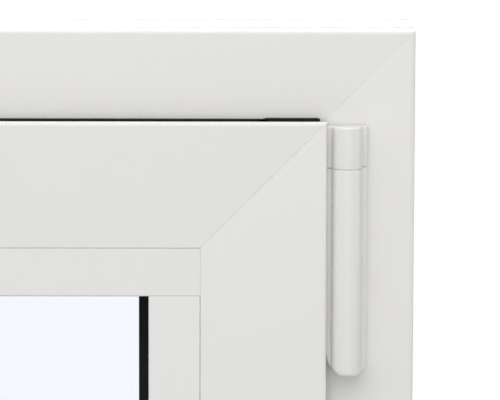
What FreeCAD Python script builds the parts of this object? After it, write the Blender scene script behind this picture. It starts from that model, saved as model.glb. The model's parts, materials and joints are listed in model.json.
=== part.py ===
"""Tilt and turn window, shut: welded plastic frame and sash, double glazing, hinges, handle.

Millimetres. X runs along the sill towards the hinge side, Y runs from the room to the open
air and Z runs up. The origin is the middle of the sill's underside, half way through the
frame. A section is drawn in two coordinates: u, inwards from the frame's outer edge, and
y, outwards from the frame's room face.
"""
import FreeCAD
import Part

import math
import os

Vector = FreeCAD.Vector

# Overall size
WINDOW_WIDTH = 800.0
WINDOW_HEIGHT = 1000.0

# Frame extrusion
FRAME_BODY = 46.0            # height of the hollow body under the sash
FRAME_LEG = 22.0             # the outside leg stands this far above the body
FRAME_LEG_THICKNESS = 11.0
FIXING_GROOVE_WIDTH = 8.0    # two clip grooves run round the outer edge
FIXING_GROOVE_DEPTH = 3.0
FIXING_GROOVE_INSET = 10.0   # from each face to the near side of its groove

# Sash extrusion
SASH_DEPTH = 74.0
SASH_STAND_OFF = 15.0        # the sash stands this far into the room
SASH_OVERLAP = 8.0           # the sash flange covers this much of the frame body
SASH_FACE = 54.2             # room face, from the flange edge to the bead
FLANGE_DRAFT = 1.0           # the flange's side leans in by this much towards its back
SASH_LEG = 21.5              # the outside leg stands this far above the glazing rebate
SASH_LEG_THICKNESS = 12.0
HARDWARE_AIR = 12.0          # between frame body and sash body
HARDWARE_GROOVE_WIDTH = 16.0
HARDWARE_GROOVE_DEPTH = 4.0
HARDWARE_GROOVE_INSET = 14.0  # behind the back of the flange

# Walls of both extrusions
WALL = 3.0
WEB = 1.8
STEEL_CHAMBER = 28.0         # middle chamber, for the reinforcement
EDGE_ROUND = 1.0             # inner edges of both
FRAME_ROUND = 1.9            # outer edge of the frame, at the room side
FLANGE_ROUND = 1.9           # room-side edge of the sash flange
LEG_ROUND = 3.0              # outside edges of the legs
WELD_GROOVE_WIDTH = 0.9      # fine groove left along each welded mitre
WELD_GROOVE_DEPTH = 0.35

# Glazing
PANE_THICKNESS = 4.0
CAVITY = 16.0
GLASS_EDGE_GAP = 5.0         # blocks fill this gap round the glass
SPACER_HEIGHT = 11.5
BEAD_WIDTH = 20.8
BEAD_WALL = 2.0
BEAD_ROUND = 0.8             # edge of the bead beside the glass
BEAD_JOINT_ROUND = 0.4       # edges of bead and sash where they meet
BEAD_DRAFT = 1.8             # the bead's inner side slopes in by this much to its back
BEAD_FOOT_LENGTH = 3.5       # the clip foot reaches into the sash
BEAD_FOOT_THICKNESS = 3.0
BEAD_FOOT_INSET = 3.0        # from the bead's back to the foot
CLIP_CLEARANCE = 0.2
BLOCK_LENGTH = 80.0
BLOCK_INSET = 60.0           # from the corner of the glass to the near end of a block

# Seals
SEAL_GAP = 4.0               # between sash and frame, inside and outside
SEAL_FOOT = 5.5              # width of a seal between sash and frame
SEAL_BASE = 1.3              # thickness of its base, before it narrows
SEAL_PROUD = 0.3             # its lip stands this far past the flange
SEAL_CORNER = 3.0            # the lip is cut off at the corners
GLAZING_SEAL_THICKNESS = 3.5
GLAZING_SEAL_FOOT = 5.0
GLAZING_LIP = 3.4            # the lip shows this far past the bead or leg
LIP_ROOT_SHARE = 0.75        # where the lip leaves the foot, as a share of the thickness
LIP_EDGE_SHARE = 0.3         # thickness of its edge, as a share of the same

# Hinges
HINGE_STAND_OFF = 11.5       # from the frame's room face to the hinge axis
BARREL_RADIUS = 6.0
COVER_BASE = 7.5             # height of the base that the barrel stands out of
COVER_SASH_LEDGE = 2.5       # the base shows this far past the barrel, beside the sash
COVER_JAMB_LEDGE = 2.7       # and this far on the other side
COVER_SASH_CORNER = 7.0      # corner radii at a cover's free end, seen from the room
COVER_JAMB_CORNER = 2.4
COVER_END_BEVEL = 0.9        # edge of the barrel at its free end
COVER_EDGE_BEVEL = 0.5       # edge of the barrel at the joint
HINGE_JOINT_GAP = 0.3
COVER_CLEARANCE = 0.3        # between a cover that turns and the frame
STAY_HINGE_DROP = 3.0        # from the top of the sash to the top of the stay hinge
STAY_EYE_LENGTH = 17.5
STAY_BEARING_LENGTH = 89.0
CORNER_BEARING_DROP = 14.0   # the corner bearing starts this far below the sash
CORNER_BEARING_LENGTH = 36.0
CORNER_BAND_LENGTH = 56.0
PIN_RADIUS = 3.0
PIN_CLEARANCE = 0.05
PIN_END_COVER = 4.0          # plastic left over each end of a pin

# Handle
HANDLE_BACKSET = 18.0        # from the sash body's outer side to the spindle
ROSE_WIDTH = 29.0
ROSE_HEIGHT = 66.0
ROSE_THICKNESS = 10.0
ROSE_CORNER = 11.6           # corner radius of the rose, seen from the room
ROSE_BEVEL = 2.5             # its front edge
NECK_RADIUS = 9.0
NECK_FOOT_RADIUS = 12.0
NECK_FOOT_HEIGHT = 4.0
GRIP_STAND_OFF = 31.0        # from the rose to the middle of the grip
GRIP_LENGTH = 118.0
GRIP_WIDTH = 20.0
GRIP_TIP_WIDTH = 16.0
GRIP_THICKNESS = 11.0
GRIP_TIP_THICKNESS = 8.5
GRIP_CORNER = 6.0            # corner radius of the grip, seen from the room
GRIP_ROUND = 3.0             # its long edges
GRIP_SWEEP = 5.0             # the tip leans this far towards the room
HANDLE_CLEARANCE = 0.3

# Drain covers on the outside of the sill
DRAIN_LENGTH = 42.0
DRAIN_HEIGHT = 13.0
DRAIN_THICKNESS = 3.5
DRAIN_INSET = 120.0          # from the end of the sill to the middle of a cover
DRAIN_LOUVRE = 1.6
DRAIN_ROUND = 2.0

# Stations worked out from the sizes above, in u
SASH_EDGE = FRAME_BODY - SASH_OVERLAP
SASH_BODY = FRAME_BODY + HARDWARE_AIR
REBATE_FLOOR = SASH_EDGE + SASH_FACE
BEAD_NOSE = REBATE_FLOOR + BEAD_WIDTH
BEAD_BACK_EDGE = BEAD_NOSE + BEAD_DRAFT
FRAME_LEG_TIP = FRAME_BODY + FRAME_LEG
SASH_LEG_TIP = REBATE_FLOOR + SASH_LEG
GLASS_EDGE = REBATE_FLOOR + GLASS_EDGE_GAP
COVER_SASH_SIDE = BARREL_RADIUS + COVER_SASH_LEDGE
COVER_JAMB_SIDE = BARREL_RADIUS + COVER_JAMB_LEDGE
HINGE_AXIS = SASH_EDGE - SEAL_PROUD - COVER_SASH_SIDE
HANDLE_AXIS = SASH_BODY + HANDLE_BACKSET

# Stations in y
SASH_ROOM_FACE = -SASH_STAND_OFF
FLANGE_BACK = -SEAL_GAP
SASH_OUT_FACE = SASH_DEPTH - SASH_STAND_OFF
FRAME_LEG_FACE = SASH_OUT_FACE + SEAL_GAP
FRAME_DEPTH = FRAME_LEG_FACE + FRAME_LEG_THICKNESS
SASH_LEG_FACE = SASH_OUT_FACE - SASH_LEG_THICKNESS
OUTER_PANE_OUT = SASH_LEG_FACE - GLAZING_SEAL_THICKNESS
OUTER_PANE_IN = OUTER_PANE_OUT - PANE_THICKNESS
INNER_PANE_OUT = OUTER_PANE_IN - CAVITY
INNER_PANE_IN = INNER_PANE_OUT - PANE_THICKNESS
BEAD_BACK = INNER_PANE_IN - GLAZING_SEAL_THICKNESS

HALF_WIDTH = WINDOW_WIDTH / 2.0
HALF_DEPTH = FRAME_DEPTH / 2.0
REACH = 10.0                 # cutting shapes run this far past what they cut


def room_point(side, u, y, along):
    """Return the 3-D point of section coordinates u, y on one side of the window."""
    depth = y - HALF_DEPTH
    if side == "head":
        return Vector(along, depth, WINDOW_HEIGHT - u)
    if side == "sill":
        return Vector(along, depth, u)
    if side == "left":
        return Vector(-HALF_WIDTH + u, depth, along)
    return Vector(HALF_WIDTH - u, depth, along)


def rounded_wire(corners, place):
    """Return a closed wire through corners (a, b, radius), each mapped by place(a, b)."""
    count = len(corners)
    arcs = []
    for i, (a, b, radius) in enumerate(corners):
        before = corners[i - 1]
        after = corners[(i + 1) % count]
        arcs.append(corner_arc((a, b), before, after, radius))
    edges = []
    for i, (start, middle, end) in enumerate(arcs):
        if middle is not None:
            edges.append(Part.Arc(place(*start), place(*middle), place(*end)).toShape())
        next_start = arcs[(i + 1) % count][0]
        if math.dist(end, next_start) > 1e-6:
            edges.append(Part.LineSegment(place(*end), place(*next_start)).toShape())
    return Part.Wire(edges)


def corner_arc(corner, before, after, radius):
    """Return start, middle and end of the arc that rounds one corner of an outline."""
    if radius <= 0.0:
        return corner, None, corner
    back = (before[0] - corner[0], before[1] - corner[1])
    ahead = (after[0] - corner[0], after[1] - corner[1])
    back_length = math.hypot(*back)
    ahead_length = math.hypot(*ahead)
    back = (back[0] / back_length, back[1] / back_length)
    ahead = (ahead[0] / ahead_length, ahead[1] / ahead_length)
    half_angle = math.acos(back[0] * ahead[0] + back[1] * ahead[1]) / 2.0
    run = radius / math.tan(half_angle)
    bisector = (back[0] + ahead[0], back[1] + ahead[1])
    bisector_length = math.hypot(*bisector)
    to_middle = (radius / math.sin(half_angle) - radius) / bisector_length
    start = (corner[0] + back[0] * run, corner[1] + back[1] * run)
    middle = (corner[0] + bisector[0] * to_middle, corner[1] + bisector[1] * to_middle)
    end = (corner[0] + ahead[0] * run, corner[1] + ahead[1] * run)
    return start, middle, end


def rectangle(u_low, u_high, y_low, y_high, radius=0.0):
    """Return the corners of an upright rectangle, all rounded alike."""
    return [(u_low, y_low, radius), (u_high, y_low, radius),
            (u_high, y_high, radius), (u_low, y_high, radius)]


def straight_bar(side, outline, chambers, start, end):
    """Extrude a section along one side of the window, from start to end."""
    def place(u, y):
        return room_point(side, u, y, start)

    face = Part.Face(rounded_wire(outline, place))
    hollows = [Part.Face(rounded_wire(chamber, place)) for chamber in chambers]
    if hollows:
        face = face.cut(hollows)
    run = room_point(side, 0.0, 0.0, end) - room_point(side, 0.0, 0.0, start)
    return face.extrude(run)


def side_length(side):
    """Return where a full-length side starts and ends along its own direction."""
    if side in ("head", "sill"):
        return -HALF_WIDTH, HALF_WIDTH
    return 0.0, WINDOW_HEIGHT


def mitre_wedge(side, reach):
    """Return the wedge that a mitred side fills: its ends run in at 45 degrees."""
    start, end = side_length(side)
    low = -SASH_STAND_OFF - REACH
    corners = [room_point(side, 0.0, low, start), room_point(side, 0.0, low, end),
               room_point(side, reach, low, end - reach),
               room_point(side, reach, low, start + reach)]
    depth = FRAME_DEPTH + SASH_STAND_OFF + 2.0 * REACH
    wedge = Part.Face(Part.makePolygon(corners + corners[:1]))
    return wedge.extrude(Vector(0.0, depth, 0.0))


def mitred_bar(side, outline, chambers):
    """Return one side of a welded rectangle with this section."""
    start, end = side_length(side)
    bar = straight_bar(side, outline, chambers, start, end)
    reach = max(corner[0] for corner in outline) + REACH
    return bar.common(mitre_wedge(side, reach))


def ring(outline):
    """Return a closed rectangle of this section, in one piece."""
    sides = [mitred_bar(side, outline, []) for side in SIDES]
    return sides[0].fuse(sides[1:]).removeSplitter()


def single_solid(shape):
    """Return the one solid that a cut or fuse leaves."""
    solids = shape.Solids
    if len(solids) != 1:
        raise ValueError("expected one solid, found %d" % len(solids))
    return solids[0]


SIDES = ("head", "sill", "left", "right")


# Frame and sash sections

def frame_outline():
    """Return the frame section: a hollow body with a leg at the outside."""
    groove_low = FIXING_GROOVE_INSET
    groove_high = FRAME_DEPTH - FIXING_GROOVE_INSET
    deep = FIXING_GROOVE_DEPTH
    return [
        (0.0, 0.0, FRAME_ROUND),
        (FRAME_BODY, 0.0, EDGE_ROUND),
        (FRAME_BODY, FRAME_LEG_FACE, 0.0),
        (FRAME_LEG_TIP, FRAME_LEG_FACE, EDGE_ROUND),
        (FRAME_LEG_TIP, FRAME_DEPTH, LEG_ROUND),
        (0.0, FRAME_DEPTH, EDGE_ROUND),
        (0.0, groove_high, 0.0),
        (deep, groove_high, 0.0),
        (deep, groove_high - FIXING_GROOVE_WIDTH, 0.0),
        (0.0, groove_high - FIXING_GROOVE_WIDTH, 0.0),
        (0.0, groove_low + FIXING_GROOVE_WIDTH, 0.0),
        (deep, groove_low + FIXING_GROOVE_WIDTH, 0.0),
        (deep, groove_low, 0.0),
        (0.0, groove_low, 0.0),
    ]


def frame_chambers():
    """Return the four chambers of the frame section, from the room side outwards."""
    low = FIXING_GROOVE_DEPTH + WALL
    high = FRAME_BODY - WALL
    leg_chamber = FRAME_LEG_FACE + WALL
    middle = (WALL + leg_chamber - WEB) / 2.0
    steel_start = middle - STEEL_CHAMBER / 2.0
    steel_end = middle + STEEL_CHAMBER / 2.0
    return [
        rectangle(low, high, WALL, steel_start - WEB),
        rectangle(low, high, steel_start, steel_end),
        rectangle(low, high, steel_end + WEB, leg_chamber - WEB),
        rectangle(low, FRAME_LEG_TIP - WALL, leg_chamber, FRAME_DEPTH - WALL),
    ]


def sash_outline():
    """Return the sash section: flange at the room side, leg at the outside."""
    groove_start = FLANGE_BACK + HARDWARE_GROOVE_INSET
    groove_end = groove_start + HARDWARE_GROOVE_WIDTH
    groove_floor = SASH_BODY + HARDWARE_GROOVE_DEPTH
    clip_end = BEAD_BACK - BEAD_FOOT_INSET + CLIP_CLEARANCE
    clip_start = clip_end - BEAD_FOOT_THICKNESS - 2.0 * CLIP_CLEARANCE
    clip_floor = REBATE_FLOOR - BEAD_FOOT_LENGTH - CLIP_CLEARANCE
    return [
        (SASH_EDGE, SASH_ROOM_FACE, FLANGE_ROUND),
        (REBATE_FLOOR, SASH_ROOM_FACE, BEAD_JOINT_ROUND),
        (REBATE_FLOOR, clip_start, 0.0),
        (clip_floor, clip_start, 0.0),
        (clip_floor, clip_end, 0.0),
        (REBATE_FLOOR, clip_end, 0.0),
        (REBATE_FLOOR, SASH_LEG_FACE, 0.0),
        (SASH_LEG_TIP, SASH_LEG_FACE, EDGE_ROUND),
        (SASH_LEG_TIP, SASH_OUT_FACE, LEG_ROUND),
        (SASH_BODY, SASH_OUT_FACE, EDGE_ROUND),
        (SASH_BODY, groove_end, 0.0),
        (groove_floor, groove_end, 0.0),
        (groove_floor, groove_start, 0.0),
        (SASH_BODY, groove_start, 0.0),
        (SASH_BODY, FLANGE_BACK, 0.0),
        (SASH_EDGE + FLANGE_DRAFT, FLANGE_BACK, 0.0),
    ]


def sash_chambers():
    """Return the four chambers of the sash section, from the room side outwards."""
    low = SASH_BODY + HARDWARE_GROOVE_DEPTH + WALL
    high = REBATE_FLOOR - BEAD_FOOT_LENGTH - CLIP_CLEARANCE - WALL
    flange_end = FLANGE_BACK - WALL
    leg_start = SASH_LEG_FACE + WALL
    steel_start = flange_end + WEB
    steel_end = steel_start + STEEL_CHAMBER
    return [
        rectangle(SASH_EDGE + WALL, high, SASH_ROOM_FACE + WALL, flange_end),
        rectangle(low, high, steel_start, steel_end),
        rectangle(low, high, steel_end + WEB, leg_start - WEB),
        rectangle(low, SASH_LEG_TIP - WALL, leg_start, SASH_OUT_FACE - WALL),
    ]


def weld_grooves(u_start, u_end, face, into):
    """Return the four V-shaped cutters along the mitres of one face.

    face is the y of the surface and into is +1 or -1, the way into the material.
    """
    half = WELD_GROOVE_WIDTH / 2.0
    cutters = []
    for side in ("left", "right"):
        for end in ("bottom", "top"):
            along = u_start if end == "bottom" else WINDOW_HEIGHT - u_start
            start = room_point(side, u_start, face, along)
            along = u_end if end == "bottom" else WINDOW_HEIGHT - u_end
            run = room_point(side, u_end, face, along) - start
            across = run.cross(Vector(0.0, 1.0, 0.0)).normalize()
            depth = Vector(0.0, into, 0.0)
            corners = [start - across * half - depth * WELD_GROOVE_DEPTH,
                       start + across * half - depth * WELD_GROOVE_DEPTH,
                       start + across * half,
                       start + depth * WELD_GROOVE_DEPTH,
                       start - across * half]
            cutters.append(Part.Face(Part.makePolygon(corners + corners[:1])).extrude(run))
    return cutters


def frame_bars():
    """Return the four frame members by name."""
    cutters = weld_grooves(-REACH, FRAME_BODY + REACH, 0.0, 1.0)
    cutters += weld_grooves(-REACH, FRAME_LEG_TIP + REACH, FRAME_DEPTH, -1.0)
    names = {"head": "frame_head", "sill": "frame_sill",
             "left": "frame_jamb_left", "right": "frame_jamb_right"}
    bars = {}
    for side, name in names.items():
        bar = mitred_bar(side, frame_outline(), frame_chambers())
        bars[name] = single_solid(bar.cut(cutters))
    return bars


def sash_bars():
    """Return the four sash members by name."""
    cutters = weld_grooves(SASH_EDGE - REACH, REBATE_FLOOR + REACH, SASH_ROOM_FACE, 1.0)
    cutters += weld_grooves(SASH_BODY - REACH, SASH_LEG_TIP + REACH, SASH_OUT_FACE, -1.0)
    names = {"head": "sash_top_rail", "sill": "sash_bottom_rail",
             "left": "sash_handle_stile", "right": "sash_hinge_stile"}
    bars = {}
    for side, name in names.items():
        bar = mitred_bar(side, sash_outline(), sash_chambers())
        bars[name] = single_solid(bar.cut(cutters))
    return bars


# Seals

def clipped_corners(shape, u_edge):
    """Cut a ring's outer corners off at 45 degrees, SEAL_CORNER back from u_edge."""
    cutters = []
    low = -SASH_STAND_OFF - REACH
    depth = Vector(0.0, FRAME_DEPTH + SASH_STAND_OFF + 2.0 * REACH, 0.0)
    far = SEAL_CORNER + REACH
    for side in ("left", "right"):
        for edge, inward in ((u_edge, 1.0), (WINDOW_HEIGHT - u_edge, -1.0)):
            corners = [room_point(side, u_edge - REACH, low, edge - inward * REACH),
                       room_point(side, u_edge + far, low, edge - inward * REACH),
                       room_point(side, u_edge + SEAL_CORNER, low, edge),
                       room_point(side, u_edge, low, edge + inward * SEAL_CORNER),
                       room_point(side, u_edge - REACH, low, edge + inward * far)]
            face = Part.Face(Part.makePolygon(corners + corners[:1]))
            cutters.append(face.extrude(depth))
    return shape.cut(cutters)


def sash_seal():
    """Return the seal on the back of the sash flange, which presses on the frame."""
    lip = SASH_EDGE - SEAL_PROUD
    root = SASH_EDGE + FLANGE_DRAFT
    bulb = FLANGE_BACK + SEAL_BASE
    seal = ring([
        (lip, bulb, 0.0),
        (root, FLANGE_BACK, 0.0),
        (root + SEAL_FOOT, FLANGE_BACK, 0.0),
        (root + SEAL_FOOT, bulb, 0.0),
        (root + SEAL_FOOT / 2.0, 0.0, 0.0),
        (lip, 0.0, 0.0),
    ])
    return single_solid(clipped_corners(seal, lip))


def frame_seal():
    """Return the seal on the frame's outside leg, which presses on the sash."""
    lip = FRAME_LEG_TIP
    root = lip - SEAL_FOOT
    bulb = FRAME_LEG_FACE - SEAL_BASE
    return single_solid(ring([
        (root, FRAME_LEG_FACE, 0.0),
        (lip, FRAME_LEG_FACE, 0.0),
        (lip + SEAL_PROUD, bulb, 0.0),
        (lip + SEAL_PROUD, SASH_OUT_FACE, 0.0),
        (lip - SEAL_FOOT / 2.0, SASH_OUT_FACE, 0.0),
        (root, bulb, 0.0),
    ]))


def glazing_seal_outline(edge, glass_y, foot_y):
    """Return a glazing seal: a foot under the bead or leg and a lip along the glass."""
    rise = foot_y - glass_y
    return [
        (edge - GLAZING_SEAL_FOOT, glass_y, 0.0),
        (edge + GLAZING_LIP, glass_y, 0.0),
        (edge + GLAZING_LIP, glass_y + rise * LIP_EDGE_SHARE, 0.0),
        (edge, glass_y + rise * LIP_ROOT_SHARE, 0.0),
        (edge - EDGE_ROUND, foot_y, 0.0),
        (edge - GLAZING_SEAL_FOOT, foot_y, 0.0),
    ]


def outer_glazing_seal():
    """Return the seal between the outer pane and the sash's outside leg."""
    return single_solid(ring(glazing_seal_outline(SASH_LEG_TIP, OUTER_PANE_OUT, SASH_LEG_FACE)))


# Glazing

def flat_panel(u, y_low, y_high):
    """Return a sheet whose edges stand u inside the frame's outer edges."""
    corner = room_point("left", u, y_low, u)
    return Part.makeBox(WINDOW_WIDTH - 2.0 * u, y_high - y_low, WINDOW_HEIGHT - 2.0 * u, corner)


def glass_parts():
    """Return both panes and the spacer that is sealed between their edges."""
    spacer = ring(rectangle(GLASS_EDGE, GLASS_EDGE + SPACER_HEIGHT, INNER_PANE_OUT, OUTER_PANE_IN))
    return {
        "glass_pane_room_side": flat_panel(GLASS_EDGE, INNER_PANE_IN, INNER_PANE_OUT),
        "glass_pane_outside": flat_panel(GLASS_EDGE, OUTER_PANE_IN, OUTER_PANE_OUT),
        "glass_spacer": single_solid(spacer),
    }


def glazing_blocks():
    """Return the blocks that carry and centre the glass, two on each side."""
    blocks = []
    for side in SIDES:
        start, end = side_length(side)
        outline = rectangle(REBATE_FLOOR, GLASS_EDGE, INNER_PANE_IN, OUTER_PANE_OUT)
        inset = GLASS_EDGE + BLOCK_INSET
        near = straight_bar(side, outline, [], start + inset, start + inset + BLOCK_LENGTH)
        far = straight_bar(side, outline, [], end - inset - BLOCK_LENGTH, end - inset)
        blocks += [near, far]
    return Part.makeCompound(blocks)


def bead_outline():
    """Return the bead section: flush with the sash, with a clip foot and a sloping nose."""
    foot_end = BEAD_BACK - BEAD_FOOT_INSET
    foot_start = foot_end - BEAD_FOOT_THICKNESS
    foot_tip = REBATE_FLOOR - BEAD_FOOT_LENGTH
    return [
        (REBATE_FLOOR, SASH_ROOM_FACE, BEAD_JOINT_ROUND),
        (BEAD_NOSE, SASH_ROOM_FACE, BEAD_ROUND),
        (BEAD_BACK_EDGE, BEAD_BACK, 0.0),
        (REBATE_FLOOR, BEAD_BACK, 0.0),
        (REBATE_FLOOR, foot_end, 0.0),
        (foot_tip, foot_end, 0.0),
        (foot_tip, foot_start, 0.0),
        (REBATE_FLOOR, foot_start, 0.0),
    ]


def bead_chamber():
    """Return the hollow inside a bead."""
    return rectangle(REBATE_FLOOR + BEAD_WALL, BEAD_NOSE - BEAD_WALL,
                     SASH_ROOM_FACE + BEAD_WALL, BEAD_BACK - BEAD_WALL)


def bead_parts():
    """Return the beads and their seals.

    The top and bottom beads run from stile to stile. The side beads stand between them, and
    their ends are cut to the slope of the others' inner sides.
    """
    names = {"head": "top", "sill": "bottom", "left": "handle_side", "right": "hinge_side"}
    seal_outline = glazing_seal_outline(BEAD_BACK_EDGE, INNER_PANE_IN, BEAD_BACK)
    crossing = [straight_bar(side, bead_outline(), [], -HALF_WIDTH, HALF_WIDTH)
                for side in ("head", "sill")]
    parts = {}
    for side, name in names.items():
        start, end = side_length(side)
        across = side in ("head", "sill")
        bead_stop = REBATE_FLOOR if across else BEAD_NOSE
        seal_stop = GLASS_EDGE if across else BEAD_BACK_EDGE + GLAZING_LIP
        bead = straight_bar(
            side, bead_outline(), [bead_chamber()], start + bead_stop, end - bead_stop)
        parts["bead_" + name] = bead if across else single_solid(bead.cut(crossing))
        parts["bead_seal_" + name] = straight_bar(
            side, seal_outline, [], start + seal_stop, end - seal_stop)
    return parts


# Hinges

def cover_barrel(z_low, z_high, low_bevel, high_bevel):
    """Return the barrel of a cover, with flanks into its base and bevelled edges at its ends."""
    axis_x = HALF_WIDTH - HINGE_AXIS
    axis_y = -HINGE_STAND_OFF - HALF_DEPTH
    foot_y = -COVER_BASE / 2.0 - HALF_DEPTH
    left = axis_x - BARREL_RADIUS
    right = axis_x + BARREL_RADIUS
    front = Vector(axis_x, axis_y - BARREL_RADIUS, z_low)
    outline = Part.Wire([
        Part.Arc(Vector(left, axis_y, z_low), front, Vector(right, axis_y, z_low)).toShape(),
        Part.makeLine(Vector(right, axis_y, z_low), Vector(right, foot_y, z_low)),
        Part.makeLine(Vector(right, foot_y, z_low), Vector(left, foot_y, z_low)),
        Part.makeLine(Vector(left, foot_y, z_low), Vector(left, axis_y, z_low)),
    ])
    barrel = Part.Face(outline).extrude(Vector(0.0, 0.0, z_high - z_low))
    for z, bevel in ((z_low, low_bevel), (z_high, high_bevel)):
        edges = [edge for edge in barrel.Edges
                 if abs(edge.BoundBox.ZMin - z) < 1e-4
                 and edge.BoundBox.ZLength < 1e-4
                 and edge.BoundBox.YMin < foot_y - 1e-4]
        barrel = barrel.makeChamfer(bevel, edges)
    return barrel


def cover_base(z_low, z_high, low_free, high_free, clearance):
    """Return the base of a cover, with round corners at its free ends, seen from the room."""
    corners = cover_corners(z_low, z_high, low_free, high_free)
    back_y = -clearance - HALF_DEPTH
    face = Part.Face(rounded_wire(corners, lambda x, z: Vector(x, back_y, z)))
    return face.extrude(Vector(0.0, clearance - COVER_BASE, 0.0))


def cover_corners(z_low, z_high, low_free, high_free):
    """Return the four corners of a cover's outline, seen from the room."""
    axis_x = HALF_WIDTH - HINGE_AXIS
    sash_side = axis_x - COVER_SASH_SIDE
    jamb_side = axis_x + COVER_JAMB_SIDE
    return [(sash_side, z_low, COVER_SASH_CORNER if low_free else 0.0),
            (jamb_side, z_low, COVER_JAMB_CORNER if low_free else 0.0),
            (jamb_side, z_high, COVER_JAMB_CORNER if high_free else 0.0),
            (sash_side, z_high, COVER_SASH_CORNER if high_free else 0.0)]


def hinge_cover(z_low, z_high, low_free, high_free, clearance, bore_low, bore_high):
    """Return one cover, bored for the pin between bore_low and bore_high.

    low_free and high_free say which ends stand free, with a wider bevel and round corners.
    """
    barrel = cover_barrel(z_low, z_high,
                          COVER_END_BEVEL if low_free else COVER_EDGE_BEVEL,
                          COVER_END_BEVEL if high_free else COVER_EDGE_BEVEL)
    front_y = -HINGE_STAND_OFF - BARREL_RADIUS - REACH - HALF_DEPTH
    corners = cover_corners(z_low, z_high, low_free, high_free)
    outline = Part.Face(rounded_wire(corners, lambda x, z: Vector(x, front_y, z)))
    barrel = barrel.common(outline.extrude(Vector(0.0, -HALF_DEPTH - front_y, 0.0)))
    cover = barrel.fuse(cover_base(z_low, z_high, low_free, high_free, clearance))
    bore = pin_cylinder(PIN_RADIUS + PIN_CLEARANCE, bore_low, bore_high)
    return single_solid(cover.removeSplitter().cut(bore))


def pin_cylinder(radius, z_low, z_high):
    """Return a cylinder on the hinge axis."""
    base = Vector(HALF_WIDTH - HINGE_AXIS, -HINGE_STAND_OFF - HALF_DEPTH, z_low)
    return Part.makeCylinder(radius, z_high - z_low, base)


def hinge_pair(z_low, z_joint, z_high, high_free):
    """Return the lower cover, the upper cover, which turns, and the pin of one hinge."""
    pin_low = z_low + PIN_END_COVER
    pin_high = z_high - PIN_END_COVER
    half_gap = HINGE_JOINT_GAP / 2.0
    lower = hinge_cover(z_low, z_joint - half_gap, True, False, 0.0, pin_low, z_joint)
    upper = hinge_cover(z_joint + half_gap, z_high, False, high_free, COVER_CLEARANCE,
                        z_joint, pin_high)
    return lower, upper, pin_cylinder(PIN_RADIUS, pin_low, pin_high)


def hinge_parts():
    """Return the covers and pins of the stay hinge at the top and the corner hinge below."""
    stay_top = WINDOW_HEIGHT - SASH_EDGE - STAY_HINGE_DROP
    stay_joint = stay_top - STAY_EYE_LENGTH
    stay_low = stay_joint - STAY_BEARING_LENGTH
    bearing, eye, stay_pin = hinge_pair(stay_low, stay_joint, stay_top, False)
    corner_low = SASH_EDGE - CORNER_BEARING_DROP
    corner_joint = corner_low + CORNER_BEARING_LENGTH
    corner_top = corner_joint + CORNER_BAND_LENGTH
    corner, band, corner_pin = hinge_pair(corner_low, corner_joint, corner_top, True)
    return {
        "stay_bearing_cover": bearing,
        "stay_arm_cover": eye,
        "stay_hinge_pin": stay_pin,
        "corner_bearing_cover": corner,
        "corner_band_cover": band,
        "corner_hinge_pin": corner_pin,
    }


# Handle

def rounded_plate(centre_x, centre_z, width, height, radius, y):
    """Return a flat face with rounded corners, square to Y."""
    low_x = centre_x - width / 2.0
    low_z = centre_z - height / 2.0
    corners = rectangle(low_x, low_x + width, low_z, low_z + height, radius)
    return Part.Face(rounded_wire(corners, lambda x, z: Vector(x, y, z)))


def handle_parts():
    """Return the rose on the handle stile and the lever, which points down when shut."""
    axis_x = -HALF_WIDTH + HANDLE_AXIS
    axis_z = WINDOW_HEIGHT / 2.0
    face_y = SASH_ROOM_FACE - HALF_DEPTH
    rose_y = face_y - ROSE_THICKNESS
    grip_y = rose_y - GRIP_STAND_OFF

    plate = rounded_plate(axis_x, axis_z, ROSE_WIDTH, ROSE_HEIGHT, ROSE_CORNER, face_y)
    rose = plate.extrude(Vector(0.0, -ROSE_THICKNESS, 0.0))
    front_edges = [edge for edge in rose.Edges
                   if abs(edge.BoundBox.YMin - rose_y) < 1e-6
                   and edge.BoundBox.YLength < 1e-6]
    rose = rose.makeChamfer(ROSE_BEVEL, front_edges)

    neck_outline = [
        Vector(0.0, rose_y - HANDLE_CLEARANCE, 0.0),
        Vector(NECK_FOOT_RADIUS, rose_y - HANDLE_CLEARANCE, 0.0),
        Vector(NECK_RADIUS, rose_y - HANDLE_CLEARANCE - NECK_FOOT_HEIGHT, 0.0),
        Vector(NECK_RADIUS, grip_y - GRIP_THICKNESS / 2.0, 0.0),
        Vector(0.0, grip_y - GRIP_THICKNESS / 2.0, 0.0),
    ]
    neck_face = Part.Face(Part.makePolygon(neck_outline + neck_outline[:1]))
    neck = neck_face.revolve(Vector(0.0, 0.0, 0.0), Vector(0.0, 1.0, 0.0), 360.0)
    neck.translate(Vector(axis_x, 0.0, axis_z))
    lever = single_solid(neck.fuse(grip(axis_x, grip_y, axis_z)))
    return {"handle_rose": rose, "handle_lever": lever}


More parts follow.
